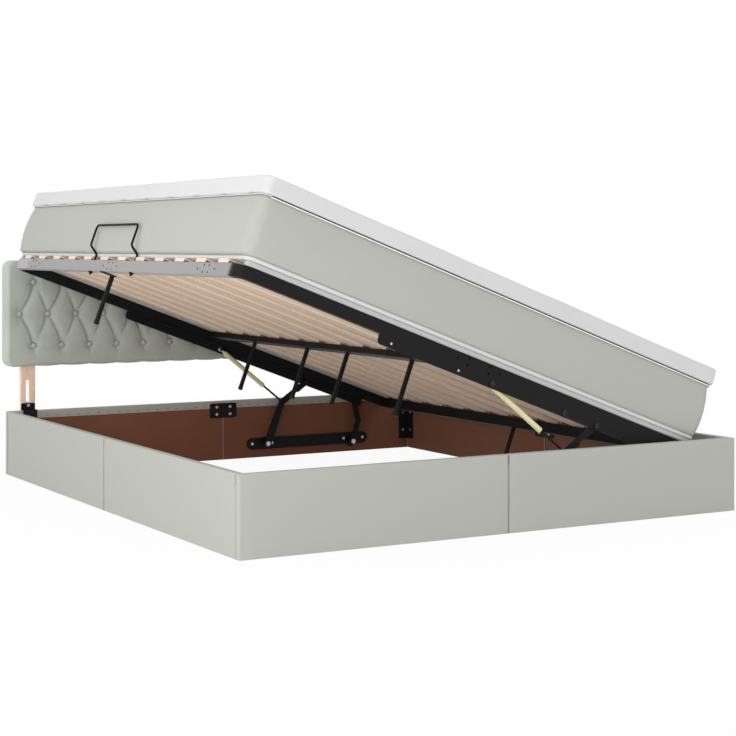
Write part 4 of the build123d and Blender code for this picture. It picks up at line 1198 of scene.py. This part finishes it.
SEAM_PAINTED_SHADE = 0.45  # Painted shade deep in a seam, as a share of the velvet's colour
CALM = 0.4  # The headboard velvet's share of the base's patches
BUTTON_SIDE_PAINTED_SHADE = 0.2  # Painted shade on a button's sides: the share of its colour left there
BRIGHT_BOLTS_REACH = 1.0  # The lift bars' bolts nearer the opening edge than this are bright
LAMPS = {  # Place, side of the square lamp, watts
    "key_light": ((-5.8, -1.2, 3.2), 4.0, 79.0),
    "front_light": ((1.0, -7.0, 2.2), 4.0, 48.0),
    "low_light": ((-3.6, -2.6, 0.35), 1.8, 46.0),
    "top_light": ((0.5, 0.5, 5.5), 5.0, 40.0),
}
LIT_POINT = Vector((0.0, 0.0, 0.4))
CAMERA_PLACE, CAMERA_YAW = (-2.9679, -5.2090, 0.8790), -0.5066
CAMERA_LENS, CAMERA_SENSOR = 81.67, 36.0
CAMERA_SHIFT = (0.0652, -0.1668)
WHITE = (1.0, 1.0, 1.0, 1.0)
FLOOR_WHITE = 0.94  # How far the floor near the bed is plain white to the camera
SKY_LIGHT = 0.74


class BED_OT_finishes(Operator):
    """Make the materials and put them on the joinery and fittings"""

    bl_idname = "storage_bed.finishes"
    bl_label = "Finishes"

    def execute(self, context):
        shades = context.scene.storage_bed.colours
        sizes = context.scene.storage_bed.mattress
        velvet = velvet_cloth("velvet", shades.velvet)
        velvet_cloth("seam_velvet", shades.velvet * SEAM_PAINTED_SHADE)
        # Headboard and buttons get the velvet painted a few percent lighter against their shade
        velvet_cloth("headboard_velvet", shades.headboard, CALM)
        velvet_cloth("button_velvet", shades.headboard, CALM, BUTTON_SIDE_PAINTED_SHADE)
        white = woven_cloth("white_cloth", shades.white)
        woven_cloth("roll_cloth", shades.roll)
        # The piping's cloth is painted lighter against the topper's shadow
        woven_cloth("piping_cloth_painted_light", shades.piping)
        lining_cloth(shades.lining)
        dark_bolts = dark_bolt("dark_bolts", shades.steel, shades.zinc)
        by_slot = {
            "velvet": velvet,
            "white_quilt": white,
            "plywood": reddish_plywood(shades.plywood),
            "black_steel": powder_coat("powder_coat", shades.steel),
            "zinc": bright_zinc(shades.zinc),
            "strut_paint": gloss_paint("strut_gloss", shades.strut),
            "beam_paint": powder_coat("beam_coat", shades.steel),
            "beech": leg_beech(shades.beech),
            # The holders' brown is painted shade of the slats' sides
            "black_plastic": moulded_plastic("holder_plastic_painted_shade", shades.holder),
            "rubber_caps": moulded_plastic("cap_rubber", shades.steel),
        }
        slats = slat_beech_painted_light(shades.slat_under, shades.slat_side_painted_highlight, shades.slat_end, sizes)
        by_node = {
            "slats_opening_row": slats,
            "slats_hinge_row": slats,
            # The opening bar's long face carries a painted reflection
            "frame_opening_bar": bar_coat_with_painted_reflection(shades.steel, shades.bar_painted_reflection, sizes),
            "arm_top_pivots": dark_bolts,
            "strut_top_studs": dark_bolts,
            "lift_bar_bolts": dark_bolt(
                "lift_bar_bolts", shades.steel, shades.zinc, sizes, BRIGHT_BOLTS_REACH
            ),
        }
        for name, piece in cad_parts.items():
            for slot in piece.material_slots:
                slot.material = by_node.get(name) or by_slot[slot.material.name.split(".")[0]]
        return {"FINISHED"}


def put_in_scene(scene, data, place):
    """A lamp or camera at its place."""
    made = bpy.data.objects.new(data.name, data)
    made.location = place
    scene.collection.objects.link(made)
    return made


def lay_floor(shade):
    """A floor that is near white to the camera, whiter still away from the bed."""
    clear_selection()
    bpy.ops.mesh.primitive_plane_add(size=60, location=(0, 0, 0))
    floor = named("floor")
    made = Finish("floor", roughness=0.9, specular_ior_level=0.1)
    made.done(made.tint(shade, 0.99 + made.speckle(3.0) * 0.02))
    reach = made.node("ShaderNodeVectorMath", {0: made.place}, "Value", operation="LENGTH")
    plain = FLOOR_WHITE + made.between(reach, 2.0, 5.0) * (1.0 - FLOOR_WHITE)
    white = made.node("ShaderNodeEmission", {"Color": WHITE, "Strength": 1.0})
    surface = Wire(made, made.shader.outputs[0])
    blend = made.node("ShaderNodeMixShader", {0: made.seen() * plain, 1: surface, 2: white})
    made.feed(made.tree.nodes["Material Output"].inputs["Surface"], blend)
    floor.data.materials.append(made.material)
    settle(floor)


def light_world(scene):
    """White to the camera and in reflections, softer as light."""
    scene.world = scene.world or bpy.data.worlds.new("world")
    scene.world.use_nodes = True
    sky = Wiring(scene.world.node_tree)
    background = sky.tree.nodes["Background"]
    background.inputs["Color"].default_value = WHITE
    inputs = {"Value": sky.seen(), "To Min": SKY_LIGHT, "To Max": 1.0}
    sky.feed(background.inputs["Strength"], sky.node("ShaderNodeMapRange", inputs))


class BED_OT_stage(Operator):
    """Set up the floor, the lights and the camera"""

    bl_idname = "storage_bed.stage"
    bl_label = "Stage"

    def execute(self, context):
        scene = context.scene
        lay_floor(scene.storage_bed.colours.floor)
        light_world(scene)
        for name, (place, size, power) in LAMPS.items():
            lamp = put_in_scene(scene, bpy.data.lights.new(name, "AREA"), place)
            lamp.data.size, lamp.data.energy = size, power
            away = LIT_POINT - Vector(place)
            lamp.rotation_euler = away.to_track_quat("-Z", "Y").to_euler()
        view = put_in_scene(scene, bpy.data.cameras.new("camera"), CAMERA_PLACE)
        view.rotation_euler = (math.pi / 2, 0.0, CAMERA_YAW)
        view.data.lens, view.data.sensor_width = CAMERA_LENS, CAMERA_SENSOR
        view.data.sensor_fit = "HORIZONTAL"
        view.data.shift_x, view.data.shift_y = CAMERA_SHIFT
        scene.camera = view
        scene.view_settings.view_transform = "Standard"
        return {"FINISHED"}


class BED_PT_panel(Panel):
    """Sizes, colours and steps of the storage bed"""

    bl_idname = "BED_PT_panel"
    bl_label = "Storage bed"
    bl_space_type = "VIEW_3D"
    bl_region_type = "UI"
    bl_category = "Storage bed"

    def draw(self, context):
        for step in STEPS:
            self.layout.operator(step.bl_idname, text=step.bl_label)
        settings = context.scene.storage_bed
        for group in (settings.covers, settings.mattress, settings.headboard, settings.colours):
            box = self.layout.box()
            for name in group.bl_rna.properties.keys():
                if name not in ("rna_type", "name"):
                    box.prop(group, name, text=name.replace("_", " ").capitalize())


STEPS = (
    BED_OT_finishes, BED_OT_covers, BED_OT_mattress, BED_OT_topper, BED_OT_headboard, BED_OT_stage
)
GROUPS = (BED_PG_covers, BED_PG_mattress, BED_PG_headboard, BED_PG_colours, BED_PG_settings)
CLASSES = (*GROUPS, *STEPS, BED_PT_panel)


def register():
    for each in CLASSES:
        bpy.utils.register_class(each)
    bpy.types.Scene.storage_bed = PointerProperty(type=BED_PG_settings)


def unregister():
    del bpy.types.Scene.storage_bed
    for each in reversed(CLASSES):
        bpy.utils.unregister_class(each)


def main():
    register()
    bpy.ops.storage_bed.finishes()
    bpy.ops.storage_bed.covers()
    bpy.ops.storage_bed.mattress()
    bpy.ops.storage_bed.topper()
    bpy.ops.storage_bed.headboard()
    bpy.ops.storage_bed.stage()


if __name__ == "__main__":
    main()
